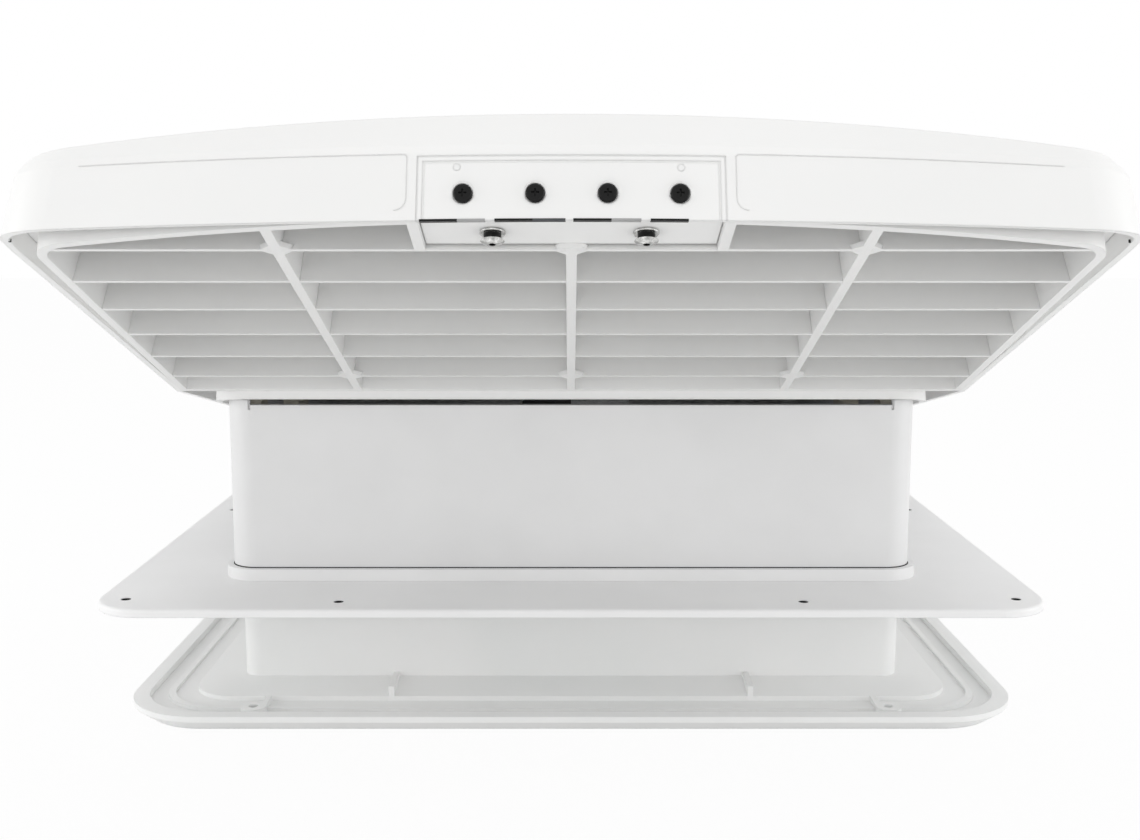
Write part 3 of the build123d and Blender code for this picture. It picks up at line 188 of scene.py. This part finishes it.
# talc-filled polypropylene deck: greyer and duller, so that the inside recedes
deckLook = {"light": "#e6e6e6", "dark": "#dfdfdf", "roughness": 0.5, "ior": 1.49, "cloudSize": 60,
            "grainSize": 0.8, "grainDepth": 0.02, "waveSize": 40, "waveDepth": 0.03, "edge": 0.5}
# polycarbonate fan: cool grey and glossy, with light passing a little way into the blades
fanLook = {"light": "#d5d9dc", "dark": "#cdd1d5", "roughness": 0.25, "ior": 1.58, "cloudSize": 40,
           "grainSize": 0.5, "grainDepth": 0.004, "waveSize": 25, "waveDepth": 0.03, "edge": 0.5,
           "scatter": 0.15}
# ABS buttons, grained: mid grey, so that they stand out on the white trim
buttonLook = {"light": "#a8a8a8", "dark": "#9f9f9f", "roughness": 0.45, "ior": 1.53, "cloudSize": 15,
              "grainSize": 0.5, "grainDepth": 0.02, "waveSize": 12, "waveDepth": 0.01, "edge": 0.4}
# glass-filled nylon junction box: near black with a coarse matt grain
boxLook = {"light": "#26272a", "dark": "#1f2022", "roughness": 0.5, "ior": 1.53, "cloudSize": 20,
           "grainSize": 0.6, "grainDepth": 0.03, "waveSize": 12, "waveDepth": 0.01, "edge": 0.4}
# machined acetal gears: warm cream, waxy
gearLook = {"light": "#e0dcd0", "dark": "#d7d3c6", "roughness": 0.38, "ior": 1.48, "cloudSize": 20,
            "grainSize": 0.5, "grainDepth": 0.008, "waveSize": 12, "waveDepth": 0.01, "edge": 0.2,
            "scatter": 0.1}
# acrylic window: black and mirror smooth, the one sharp reflection on the trim
windowLook = {"light": "#141518", "dark": "#0e0f11", "roughness": 0.08, "ior": 1.49, "cloudSize": 30,
              "grainSize": 0.5, "grainDepth": 0.001, "waveSize": 20, "waveDepth": 0.005, "edge": 0.2}
# glass laminate board: green solder mask with a soft shine
boardLook = {"light": "#1d5c37", "dark": "#164b2c", "roughness": 0.3, "ior": 1.52, "cloudSize": 12,
             "grainSize": 0.4, "grainDepth": 0.01, "waveSize": 8, "waveDepth": 0.02, "edge": 0.1}
# EPDM foam seal: dark and matt. The same dark rubber is painted shade: a painted shadow line round the housing,
# and painted shade in the flange's screw holes
sealAndShadeLook = {"light": "#303030", "dark": "#202020", "roughness": 0.85, "ior": 1.5, "cloudSize": 6,
            "grainSize": 0.5, "grainDepth": 0.12, "waveSize": 8, "waveDepth": 0.1, "edge": 0.5}
# nylon net: grey threads that let the fan show through. The same grey is painted shade on the darker latch tongue
netLook = {"light": "#4a4c4f", "dark": "#3c3e41", "roughness": 0.6, "ior": 1.5, "cloudSize": 10,
           "grainSize": 0.4, "grainDepth": 0.01, "waveSize": 6, "waveDepth": 0.01, "edge": 0.1}

# black coated steel screws: almost no tone, only a faint highlight on the head. The same black is painted shade in
# the cover's latch slots, and painted reflection and shade on the catch screws' ring and socket
blackScrewLook = {"light": "#101010", "dark": "#060606", "roughness": 0.34, "metallic": 0.0, "shine": 0.22,
                  "grainSize": 0.3, "grainDepth": 0.01, "edge": 0.25}
# nickel-plated dome screws: nearly a mirror; the large light and dark blotches of the colour are painted
# reflection, standing in for the dark and bright things that the plating would mirror
brightScrewReflectionLook = {"light": "#f2f2f0", "dark": "#a2a2a0", "roughness": 0.12, "metallic": 1.0,
                   "grainSize": 2.2, "grainDepth": 0.003, "edge": 0.25}
# zinc-plated screws: light grey, broken highlights
zincScrewLook = {"light": "#c9ccce", "dark": "#a9acae", "roughness": 0.3, "metallic": 1.0,
                 "grainSize": 0.4, "grainDepth": 0.006, "edge": 0.2}
# ground shaft steel: streaks round the shaft
groundSteelLook = {"light": "#b8babc", "dark": "#9c9ea0", "roughness": 0.25, "metallic": 1.0,
                   "grainSize": 0.3, "grainDepth": 0.004, "edge": 0.3, "stretch": (0.1, 1, 1)}
# zinc-plated sheet: large faint spangles
sheetSteelLook = {"light": "#c6c9cb", "dark": "#a8abad", "roughness": 0.36, "metallic": 1.0,
                  "grainSize": 2.5, "grainDepth": 0.01, "edge": 0.4}
# painted motor can: black with a wide soft highlight
motorLook = {"light": "#1f1f20", "dark": "#131314", "roughness": 0.35, "metallic": 0.2,
             "grainSize": 0.5, "grainDepth": 0.01, "edge": 0.5}
# die-cast aluminium: dull grey with a sandy skin
castLook = {"light": "#c2c4c6", "dark": "#9fa1a3", "roughness": 0.42, "metallic": 1.0,
            "grainSize": 0.9, "grainDepth": 0.05, "edge": 0.6}

materials = {
    "hood_plastic": mouldedPlastic("polishedAsaWhite", hoodLook),
    "grille_plastic": mouldedPlastic("satinAbsWhite", grilleLook),
    "housing_plastic": mouldedPlastic("mouldedAbsHousing", housingLook),
    "flange_plastic": mouldedPlastic("mouldedAbsFlange", flangeBrightenedLook),
    "trim_plastic": mouldedPlastic("grainedAbsTrim", trimBrightenedLook),
    "deck_plastic": mouldedPlastic("filledPolypropylene", deckLook),
    "fan_plastic": mouldedPlastic("polishedPolycarbonate", fanLook),
    "mesh_plastic": mouldedPlastic("wovenNylonNet", netLook),
    "button_plastic": mouldedPlastic("grainedAbsGrey", buttonLook),
    "window_plastic": mouldedPlastic("polishedAcrylicSmoke", windowLook),
    "box_plastic": mouldedPlastic("mouldedNylonBlack", boxLook),
    "board_laminate": mouldedPlastic("maskedGlassLaminate", boardLook),
    "black_screw": coatedMetal("coatedSteelBlack", blackScrewLook),
    "bright_screw": coatedMetal("nickelPlatedSteel", brightScrewReflectionLook),
    "steel_screw": coatedMetal("zincPlatedSteel", zincScrewLook),
    "shaft_steel": coatedMetal("groundSteel", groundSteelLook),
    "bracket_steel": coatedMetal("zincPlatedSheet", sheetSteelLook),
    "motor_black": coatedMetal("paintedSteelBlack", motorLook),
    "gearbox_metal": coatedMetal("dieCastAluminium", castLook),
    "gear_plastic": mouldedPlastic("machinedAcetal", gearLook),
    "seal_rubber": mouldedPlastic("foamRubberAndShade", sealAndShadeLook),
}
for part in frame["record"]["subparts"]:
    piece = nodes[part["node"]]
    if not piece.material_slots:
        piece.data.materials.append(None)
    for slot in piece.material_slots:
        slot.material = materials[part["material_slot"]]
print("materials made:", len(materials))


def meshPiece(name, bm, material, body):
    mesh = bpy.data.meshes.new(name)
    bm.to_mesh(mesh)
    bm.free()
    piece = bpy.data.objects.new(name, mesh)
    bpy.context.scene.collection.objects.link(piece)
    mesh.materials.append(materials[material])
    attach(piece, body)
    return piece


def addBox(bm, low, high):
    corners = [(x, y, z) for x in (low[0], high[0]) for y in (low[1], high[1]) for z in (low[2], high[2])]
    verts = [bm.verts.new(corner) for corner in corners]
    for face in ((0, 1, 3, 2), (4, 6, 7, 5), (0, 4, 5, 1), (2, 3, 7, 6), (0, 2, 6, 4), (1, 5, 7, 3)):
        bm.faces.new([verts[index] for index in face])


# Insect net: thin square strands, those that run front to back lifted and lowered by turns
netSize = {"pitch": 2.4, "strand": 0.32, "border": 0.6, "weave": 0.16, "corner": 18.0}


def insectNet():
    low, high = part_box("insect_screen")
    level = (low[2] + high[2]) / 2
    pitch = netSize["pitch"] * mm
    radius = netSize["strand"] / 2 * mm
    inset = netSize["border"] * mm
    left, right = low[0] + inset, high[0] - inset
    near, far = low[1] + inset, high[1] - inset
    across = int((right - left) / pitch)
    along = int((far - near) / pitch)
    bm = bmesh.new()
    corner = netSize["corner"] * mm

    def reach(place, start, end, wide):
        # half a strand's length: it stops short of the corners, where the knobs' shafts pass
        edge = min(place - start, end - place)
        return wide - max(corner - edge, 0)

    for count in range(across + 1):
        x = left + (right - left) * count / across
        half = reach(x, left, right, (far - near) / 2)
        middle = (near + far) / 2
        lift = netSize["weave"] / 2 * mm * (1 if count % 2 else -1)
        addBox(bm, (x - radius, middle - half, level + lift - radius),
               (x + radius, middle + half, level + lift + radius))
    for count in range(along + 1):
        y = near + (far - near) * count / along
        half = reach(y, near, far, (right - left) / 2)
        middle = (left + right) / 2
        addBox(bm, (middle - half, y - radius, level - radius), (middle + half, y + radius, level + radius))
    piece = meshPiece("insect_net", bm, "mesh_plastic", "base")
    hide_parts("insect_screen")


insectNet()
print("net made")


def lathe(bm, profile, turns=48):
    # (radius, height) pairs turned about Z, closed where the radius is nought
    rings = []
    for radius, height in profile:
        if radius == 0:
            rings.append([bm.verts.new((0, 0, height))])
        else:
            rings.append([bm.verts.new((radius * math.cos(2 * math.pi * step / turns),
                                        radius * math.sin(2 * math.pi * step / turns), height))
                          for step in range(turns)])
    for low, high in zip(rings, rings[1:]):
        for step in range(turns):
            after = (step + 1) % turns
            corners = [low[step % len(low)], low[after % len(low)],
                       high[after % len(high)], high[step % len(high)]]
            unique = []
            for corner in corners:
                if corner not in unique:
                    unique.append(corner)
            if len(unique) > 2:
                bm.faces.new(unique)
    bmesh.ops.recalc_face_normals(bm, faces=bm.faces)


def smooth(piece, degrees=35):
    piece.data.polygons.foreach_set("use_smooth", [True] * len(piece.data.polygons))
    piece.data.set_sharp_from_angle(angle=math.radians(degrees))


# The hood is drawn closed and then opened about its hinge, as in the frame
hinge = {"along": 192 * mm, "height": 44 * mm, "open": 11.4}


def openHood(point):
    turn = math.radians(hinge["open"])
    x, y, z = point
    y, z = y - hinge["along"], z - hinge["height"]
    return Vector((x, hinge["along"] + y * math.cos(turn) + z * math.sin(turn),
                   hinge["height"] - y * math.sin(turn) + z * math.cos(turn)))


# the closed hood's front face: bowed, and leaning back by the inset from its foot to its top
front = {"edge": -407.0, "bow": 820.0, "foot": 66.0, "height": 23.5, "inset": 4.0}


def frontFace(x, z):
    # y of the closed hood's front face at a width and a level
    inset = front["inset"] * mm * (z - front["foot"] * mm) / (front["height"] * mm)
    bow = front["bow"] * mm - inset
    return front["edge"] * mm + front["bow"] * mm - math.sqrt(bow ** 2 - x ** 2)


# Bright catch screws under the cover: a washer, a black ring and a domed cap with a small socket. The black ring
# and the black floor of the socket are painted reflection and painted shade, standing for the dark reflections and
# the shade that the chrome head shows.
# They stand square to the cover's underside, which slopes as the grille does
catchSize = {"head": 9.2, "washer": 0.7, "ring": 6.2, "ringTop": 3.0, "dome": 4.6, "socket": 2.4,
             "socketDepth": 1.2, "shank": 2.0, "shankShare": 0.5, "slope": 10.4,
             "crown": 1.2, "clear": 4.2, "seat": 0.3}


def catchProfile():
    # (radius, height) pairs of one screw, from its shank to the floor of its socket
    head, ring, socket = (catchSize[key] / 2 * mm for key in ("head", "ring", "socket"))
    washer, ringTop, dome = (catchSize[key] * mm for key in ("washer", "ringTop", "dome"))
    shank = head * catchSize["shankShare"]
    profile = [(0, -catchSize["shank"] * mm), (shank, -catchSize["shank"] * mm), (shank, -0.2 * mm), (head, 0),
               (head, washer * 0.7), (head * 0.96, washer), (ring, washer), (ring, ringTop),
               (head * 0.9, ringTop + 0.1 * mm)]
    for step in range(1, 9):
        angle = math.pi / 2 * step / 8
        radius = head * 0.94 * math.cos(angle)
        if radius > socket:
            profile.append((radius, ringTop + (dome - ringTop) * math.sin(angle)))
    floor = dome - catchSize["socketDepth"] * mm
    return profile + [(socket, dome), (socket * 0.94, floor), (0, floor - 0.3 * mm)]


def catchScrews():
    cad = nodes["catch_screws"].data.vertices
    ring, socket = catchSize["ring"] / 2 * mm, catchSize["socket"] / 2 * mm
    slope = math.radians(hinge["open"] + catchSize["slope"])
    outward = Vector((0, -math.sin(slope), -math.cos(slope)))
    turn = outward.to_track_quat("Z", "X").to_matrix().to_4x4()
    for side, sideName in ((-1, "left"), (1, "right")):
        bm = bmesh.new()
        lathe(bm, catchProfile())
        piece = meshPiece("catch_screw_" + sideName, bm, "bright_screw", "hood")
        piece.data.materials.append(materials["black_screw"])
        # the socket and ring faces take the black material: painted reflection and painted shade
        for face in piece.data.polygons:
            reach = math.hypot(face.center.x, face.center.y)
            inSocket = reach < socket * 0.99 and face.center.z > 0
            onRing = reach < ring * 1.01 and catchSize["washer"] * mm < face.center.z < catchSize["ringTop"] * mm
            if inSocket or onRing:
                face.material_index = 1

        # the place comes from the solid screw: the middle of its head, and the level of its washer
        spots = [vert.co for vert in cad if vert.co.x * side > 0]
        top = max(spot.dot(outward) for spot in spots)
        head = [spot for spot in spots if spot.dot(outward) > top - catchSize["crown"] * mm]
        crown = Vector(((min(spot.x for spot in spots) + max(spot.x for spot in spots)) / 2,
                        sum(spot.y for spot in head) / len(head), sum(spot.z for spot in head) / len(head)))
        washer = [spot.dot(outward) for spot in spots
                  if (spot - crown - outward * (spot - crown).dot(outward)).length > catchSize["clear"] * mm]
        seat = crown - outward * (crown.dot(outward) - min(washer) - catchSize["seat"] * mm)
        piece.data.transform(Matrix.Translation(seat) @ turn)
        smooth(piece)
        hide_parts("catch_screws")


catchScrews()
print("catch screws made")


# Cover: latch slots in its lower edge, their depth shown by near-black strips of painted shade, and light rings
# round the screws
coverSlots = {"starts": (-50.8, -25.6, 0.6, 26.3), "dark": 12.7, "ends": (-28.8, -2.0, 23.2, 39.0), "level": 65.5,
              "deep": 2.7, "high": 0.72, "proud": 0.02, "steps": 6}


def latchSlots():
    # the near-black strips (kind dark) are painted shade for the slots' depth; the darker tongue in the second
    # slot is painted shade for a deeper tongue, the others are light grey plastic
    for kind, material, chosen in (("dark", "black_screw", (0, 1, 2, 3)), ("tongue", "button_plastic", (0, 2)),
                                   ("tongue_painted_shade", "mesh_plastic", (1,))):
        bm = bmesh.new()
        for start, end in [(coverSlots["starts"][slot], coverSlots["ends"][slot]) for slot in chosen]:
            split = start + coverSlots["dark"]
            left, right = (start, split) if kind == "dark" else (split, end)
            if right - left < 1:
                continue
            left, right = left * mm, right * mm
            steps = coverSlots["steps"]
            rows = []
            for step in range(steps + 1):
                x = left + (right - left) * step / steps
                near = frontFace(x, coverSlots["level"] * mm) - coverSlots["proud"] * mm
                far = near + coverSlots["deep"] * mm
                low = (coverSlots["level"] - coverSlots["proud"]) * mm
                high = low + coverSlots["high"] * mm
                rows.append([bm.verts.new(openHood(corner)) for corner in
                             ((x, near, low), (x, far, low), (x, far, high), (x, near, high))])
            for one, two in zip(rows, rows[1:]):
                for corner in range(4):
                    after = (corner + 1) % 4
                    bm.faces.new((one[corner], one[after], two[after], two[corner]))
            bm.faces.new(rows[0][::-1])
            bm.faces.new(rows[-1])
        bmesh.ops.recalc_face_normals(bm, faces=bm.faces)
        meshPiece("cover_latch_" + kind, bm, material, "hood")


latchSlots()

screwRings = {"radius": 3.62, "thick": 0.32, "pitch": 24.2, "level": 75.0}


def coverScrewRings():
    bm = bmesh.new()
    for count in range(4):
        x = (count - 1.5) * screwRings["pitch"] * mm
        y = frontFace(x, screwRings["level"] * mm)
        centre = openHood((x, y, screwRings["level"] * mm))
        tilt = math.radians(90 + hinge["open"] - math.degrees(math.atan(front["inset"] / front["height"])))
        around = Matrix.Rotation(tilt, 3, "X")
        turns, sides = 48, 10
        rings = []
        for turn in range(turns):
            angle = 2 * math.pi * turn / turns
            ring = []
            for side in range(sides):
                across = 2 * math.pi * side / sides
                radius = (screwRings["radius"] + screwRings["thick"] * math.cos(across)) * mm
                local = Vector((radius * math.cos(angle), radius * math.sin(angle),
                                screwRings["thick"] * math.sin(across) * mm))
                ring.append(bm.verts.new(centre + around @ local))
            rings.append(ring)
        for turn in range(turns):
            one, two = rings[turn], rings[(turn + 1) % turns]
            for side in range(sides):
                after = (side + 1) % sides
                bm.faces.new((one[side], one[after], two[after], two[side]))
    bmesh.ops.recalc_face_normals(bm, faces=bm.faces)
    smooth(meshPiece("cover_screw_rings", bm, "hood_plastic", "hood"))


coverScrewRings()

# Seam strip behind the cover's gap, and the lines embossed in the hood's front
seamSize = {"half": 51.75, "top": 88.35, "low": 65.8, "wide": 0.7, "under": 0.3}
panelLine = {"side": 55.4, "top": 89.2, "low": 69.5, "corner": 4.0, "thick": 0.42, "proud": 0.12, "end": 172.0}


# how far a strip's middle stands out, as a share of its width
crownShare = 0.2


def frontPath(points, wide, under, name, material):
    # a strip along the points (x, z) of the closed hood's front face, its edges that far under the face
    bm = bmesh.new()
    rows = []
    for place, (x, z) in enumerate(points):
        before = points[max(place - 1, 0)]
        after = points[min(place + 1, len(points) - 1)]
        run = Vector((after[0] - before[0], after[1] - before[1]))
        run.normalize()
        side = Vector((-run.y, run.x)) * wide / 2
        row = []
        for sign, depth in ((1, under), (0, under - wide * crownShare), (-1, under),
                            (-1, under + wide), (1, under + wide)):
            px, pz = x + side.x * sign, z + side.y * sign
            row.append(bm.verts.new(openHood((px, frontFace(px, pz) + depth, pz))))
        rows.append(row)
    for one, two in zip(rows, rows[1:]):
        for corner in range(5):
            after = (corner + 1) % 5
            bm.faces.new((one[corner], one[after], two[after], two[corner]))
    bm.faces.new(rows[0])
    bm.faces.new(rows[-1][::-1])
    bmesh.ops.recalc_face_normals(bm, faces=bm.faces)
    smooth(meshPiece(name, bm, material, "hood"), 60)


def between(start, end, steps):
    # evenly spaced points from start to end, both counted in
    return [(start[0] + (end[0] - start[0]) * step / steps, start[1] + (end[1] - start[1]) * step / steps)
            for step in range(steps + 1)]


def frontLines():
    half, top, low = seamSize["half"] * mm, seamSize["top"] * mm, seamSize["low"] * mm
    seam = between((-half, low), (-half, top), 8) + between((-half, top), (half, top), 30)[1:]
    seam += between((half, top), (half, low), 8)[1:]
    frontPath(seam, seamSize["wide"] * mm, seamSize["under"] * mm, "cover_seam", "hood_plastic")
    line = panelLine
    for sign, sideName in ((-1, "left"), (1, "right")):
        side, top, low = sign * line["side"] * mm, line["top"] * mm, line["low"] * mm
        corner = line["corner"] * mm
        points = between((sign * line["end"] * mm, top), (side + sign * corner * 0.2, top), 40)
        points += between((side, top - corner * 0.2), (side, low + corner), 8)
        for step in range(1, 5):
            angle = math.pi / 2 * step / 4
            points.append((side + sign * corner * (1 - math.cos(angle)), low + corner * (1 - math.sin(angle))))
        frontPath(points, line["thick"] * mm, -line["proud"] * mm, "panel_line_" + sideName, "hood_plastic")


frontLines()

# Ejector marks moulded in the cover, and the small screws in the hood's front corners
markSize = {"places": ((-38.5, 84.4), (36.8, 84.2)), "radius": 1.4, "proud": 0.05, "sunk": 0.1, "turns": 24}
cornerScrew = {"places": ((-206.0, -359.5, 67.6), (206.2, -356.5, 67.9)), "radius": 0.6, "deep": 1.0}


def mouldMarks():
    bm = bmesh.new()
    radius = markSize["radius"] * mm
    turns = markSize["turns"]
    for x, z in markSize["places"]:
        ring = []
        for step in range(turns):
            angle = 2 * math.pi * step / turns
            px, pz = x * mm + radius * math.cos(angle), z * mm + radius * math.sin(angle)
            y = frontFace(px, pz)
            ring.append((bm.verts.new(openHood((px, y + markSize["sunk"] * mm, pz))),
                         bm.verts.new(openHood((px, y - markSize["proud"] * mm, pz)))))
        for step in range(turns):
            after = (step + 1) % turns
            bm.faces.new((ring[step][0], ring[after][0], ring[after][1], ring[step][1]))
        bm.faces.new([pair[1] for pair in ring])
        bm.faces.new([pair[0] for pair in ring][::-1])
    bmesh.ops.recalc_face_normals(bm, faces=bm.faces)
    meshPiece("ejector_marks", bm, "hood_plastic", "hood")


mouldMarks()


def cornerScrews():
    for sideName, place in zip(("left", "right"), cornerScrew["places"]):
        bm = bmesh.new()
        radius, deep = cornerScrew["radius"] * mm, cornerScrew["deep"] * mm
        # a low domed head with a small recess
        lathe(bm, [(0, -deep), (radius, -deep), (radius, 0), (radius * 0.7, 0.25 * mm),
                   (radius * 0.35, 0.3 * mm), (radius * 0.3, -0.2 * mm), (0, -0.25 * mm)], 24)
        piece = meshPiece("rim_screw_" + sideName, bm, "motor_black", "hood")
        down = openHood((0, 0, 0)) - openHood((0, 0, 1))
        turn = down.to_track_quat("Z", "X").to_matrix().to_4x4()
        spot = openHood([value * mm for value in place])
        piece.data.transform(Matrix.Translation(spot) @ turn)
        smooth(piece)


cornerScrews()

# Dark rubber sleeves in the flange's screw holes, painted shade for the holes, given for one quarter and mirrored,
# and a dark bead round the housing above the collar, a painted shadow line for the gap there
holeShadeSleeve = {"places": ((214.7, 210.4), (111.4, 214.8), (214.7, 0.0)), "radius": 2.45, "bore": 2.1,
            "low": 0.3, "high": 3.7, "floor": 0.4}
shadeBead = {"half": 174.0, "corner": 14.0, "level": 10.2, "wide": 0.5, "high": 0.4, "sunk": 0.2}


def flangeHoleShade():
    # the sleeves are painted shade: dark rubber standing for the shade inside each screw hole
    spots = {(x * signX, y * signY + 0.0) for x, y in holeShadeSleeve["places"] for signX in (-1, 1) for signY in (-1, 1)}
    radius, bore, low, high = (holeShadeSleeve[key] * mm for key in ("radius", "bore", "low", "high"))
    floor = low + holeShadeSleeve["floor"] * mm
    for count, (x, y) in enumerate(sorted(spots)):
        bm = bmesh.new()
        lathe(bm, [(0, low), (radius, low), (radius, high), (bore, high), (bore, floor), (0, floor)], 32)
        piece = meshPiece("hole_shade_sleeve_%d" % (count + 1), bm, "seal_rubber", "base")
        piece.data.transform(Matrix.Translation((x * mm, y * mm, 0)))
        smooth(piece)


flangeHoleShade()


def housingShadeBead():
    half, corner = shadeBead["half"] * mm, shadeBead["corner"] * mm
    # the bead is a painted shadow line: dark rubber where the gap between housing and collar falls into shade
    bm = bmesh.new()
    rings = []
    for quarter in range(4):
        for step in range(9):
            angle = math.pi / 2 * (quarter + step / 8)
            across = Vector((math.cos(angle), math.sin(angle), 0))
            centreX = (half - corner) * (1 if quarter in (0, 3) else -1)
            centreY = (half - corner) * (1 if quarter in (0, 1) else -1)
            ring = []
            for out, up in ((-shadeBead["sunk"], 0), (shadeBead["wide"], 0), (shadeBead["wide"] * 0.6, shadeBead["high"]),
                            (-shadeBead["sunk"], shadeBead["high"])):
                spot = Vector((centreX, centreY, (shadeBead["level"] + up) * mm)) + across * (corner + out * mm)
                ring.append(bm.verts.new(spot))
            rings.append(ring)
    for place, ring in enumerate(rings):
        other = rings[(place + 1) % len(rings)]
        for side in range(4):
            after = (side + 1) % 4
            bm.faces.new((ring[side], ring[after], other[after], other[side]))
    bmesh.ops.recalc_face_normals(bm, faces=bm.faces)
    smooth(meshPiece("housing_shade_line", bm, "seal_rubber", "base"))


housingShadeBead()
print("cover details made")

# Camera at the photograph's place: level with the hood's front, looking 8 degrees down
view = {"lens": 42.63, "sensor": 36.0, "near": 0.01, "place": (-0.0005, -0.8434, 0.1803), "pitch": 81.99}
camera = bpy.data.objects.new("camera", bpy.data.cameras.new("camera"))
camera.data.lens = view["lens"]
camera.data.sensor_width = view["sensor"]
camera.data.clip_start = view["near"]
camera.location = view["place"]
camera.rotation_euler = (math.radians(view["pitch"]), 0, 0)
bpy.context.scene.collection.objects.link(camera)
bpy.context.scene.camera = camera


# Studio: pale floor, soft lamps on both sides and above, a weak one in front
studio = {"floorSize": 12.0, "floorColour": "#fafafa", "floorGap": 0.3, "floorGlow": 0.94,
          "worldStrength": 0.78}
# each lamp's place, target, width and height in metres, and its power in watts
lamps = {"leftSoftbox": ((-1.5, -0.5, 0.25), (0, -0.1, 0), (1.2, 0.8), 5.5),
         "rightSoftbox": ((1.5, -0.5, 0.25), (0, -0.1, 0), (1.2, 0.8), 5.5),
         "topSoftbox": ((0, -0.5, 1.7), (0, 0, 0), (1.6, 1.2), 3.2),
         "frontFill": ((0, -2.0, 0.15), (0, 0, 0.05), (1.5, 0.8), 2.5)}


def lamp(name, place, target, size, power):
    data = bpy.data.lights.new(name, "AREA")
    data.shape = "RECTANGLE"
    data.size, data.size_y = size
    data.energy = power
    lampObject = bpy.data.objects.new(name, data)
    lampObject.location = place
    direction = Vector(target) - Vector(place)
    lampObject.rotation_euler = direction.to_track_quat("-Z", "Y").to_euler()
    bpy.context.scene.collection.objects.link(lampObject)


def showsBackdrop(tree):
    # 1 for rays from the eye, from glossy surfaces and through glass
    path = addNode(tree, "ShaderNodeLightPath")
    first = addNode(tree, "ShaderNodeMath", {"operation": "MAXIMUM"})
    tree.links.new(path.outputs["Is Camera Ray"], first.inputs[0])
    tree.links.new(path.outputs["Is Glossy Ray"], first.inputs[1])
    second = addNode(tree, "ShaderNodeMath", {"operation": "MAXIMUM"})
    tree.links.new(first.outputs[0], second.inputs[0])
    tree.links.new(path.outputs["Is Transmission Ray"], second.inputs[1])
    return second.outputs[0]


def studioFloor():
    bm = bmesh.new()
    half = studio["floorSize"] / 2
    level = cadBox[0][2] - studio["floorGap"] * mm
    corners = [(-half, -half, level), (half, -half, level), (half, half, level), (-half, half, level)]
    bm.faces.new([bm.verts.new(corner) for corner in corners])
    mesh = bpy.data.meshes.new("floor")
    bm.to_mesh(mesh)
    bm.free()
    floor = bpy.data.objects.new("floor", mesh)
    bpy.context.scene.collection.objects.link(floor)
    material, tree, output = newMaterial("paleFloor")
    shader = addNode(tree, "ShaderNodeBsdfDiffuse", None, {"Color": linear(studio["floorColour"])})
    glow = addNode(tree, "ShaderNodeEmission", None, {"Color": (1, 1, 1, 1), "Strength": 1.0})
    # the eye sees the floor almost white, and the rest of it still takes the object's shadow
    share = addNode(tree, "ShaderNodeMath", {"operation": "MULTIPLY"})
    tree.links.new(showsBackdrop(tree), share.inputs[0])
    share.inputs[1].default_value = studio["floorGlow"]
    mix = addNode(tree, "ShaderNodeMixShader", None, {"Fac": share.outputs[0]})
    tree.links.new(shader.outputs["BSDF"], mix.inputs[1])
    tree.links.new(glow.outputs["Emission"], mix.inputs[2])
    tree.links.new(mix.outputs["Shader"], output.inputs["Surface"])
    mesh.materials.append(material)


def studioWorld():
    world = bpy.data.worlds.new("studio")
    bpy.context.scene.world = world
    world.use_nodes = True
    tree = world.node_tree
    tree.nodes.clear()
    output = addNode(tree, "ShaderNodeOutputWorld")
    soft = addNode(tree, "ShaderNodeBackground", None, {
        "Color": (1, 1, 1, 1), "Strength": studio["worldStrength"]})
    white = addNode(tree, "ShaderNodeBackground", None, {"Color": (1, 1, 1, 1), "Strength": 1.0})
    mix = addNode(tree, "ShaderNodeMixShader", None, {"Fac": showsBackdrop(tree)})
    tree.links.new(soft.outputs["Background"], mix.inputs[1])
    tree.links.new(white.outputs["Background"], mix.inputs[2])
    tree.links.new(mix.outputs["Shader"], output.inputs["Surface"])


studioFloor()
studioWorld()
for lampName, (place, target, size, power) in lamps.items():
    lamp(lampName, place, target, size, power)
bpy.context.scene.view_settings.view_transform = "Standard"
print("studio made")
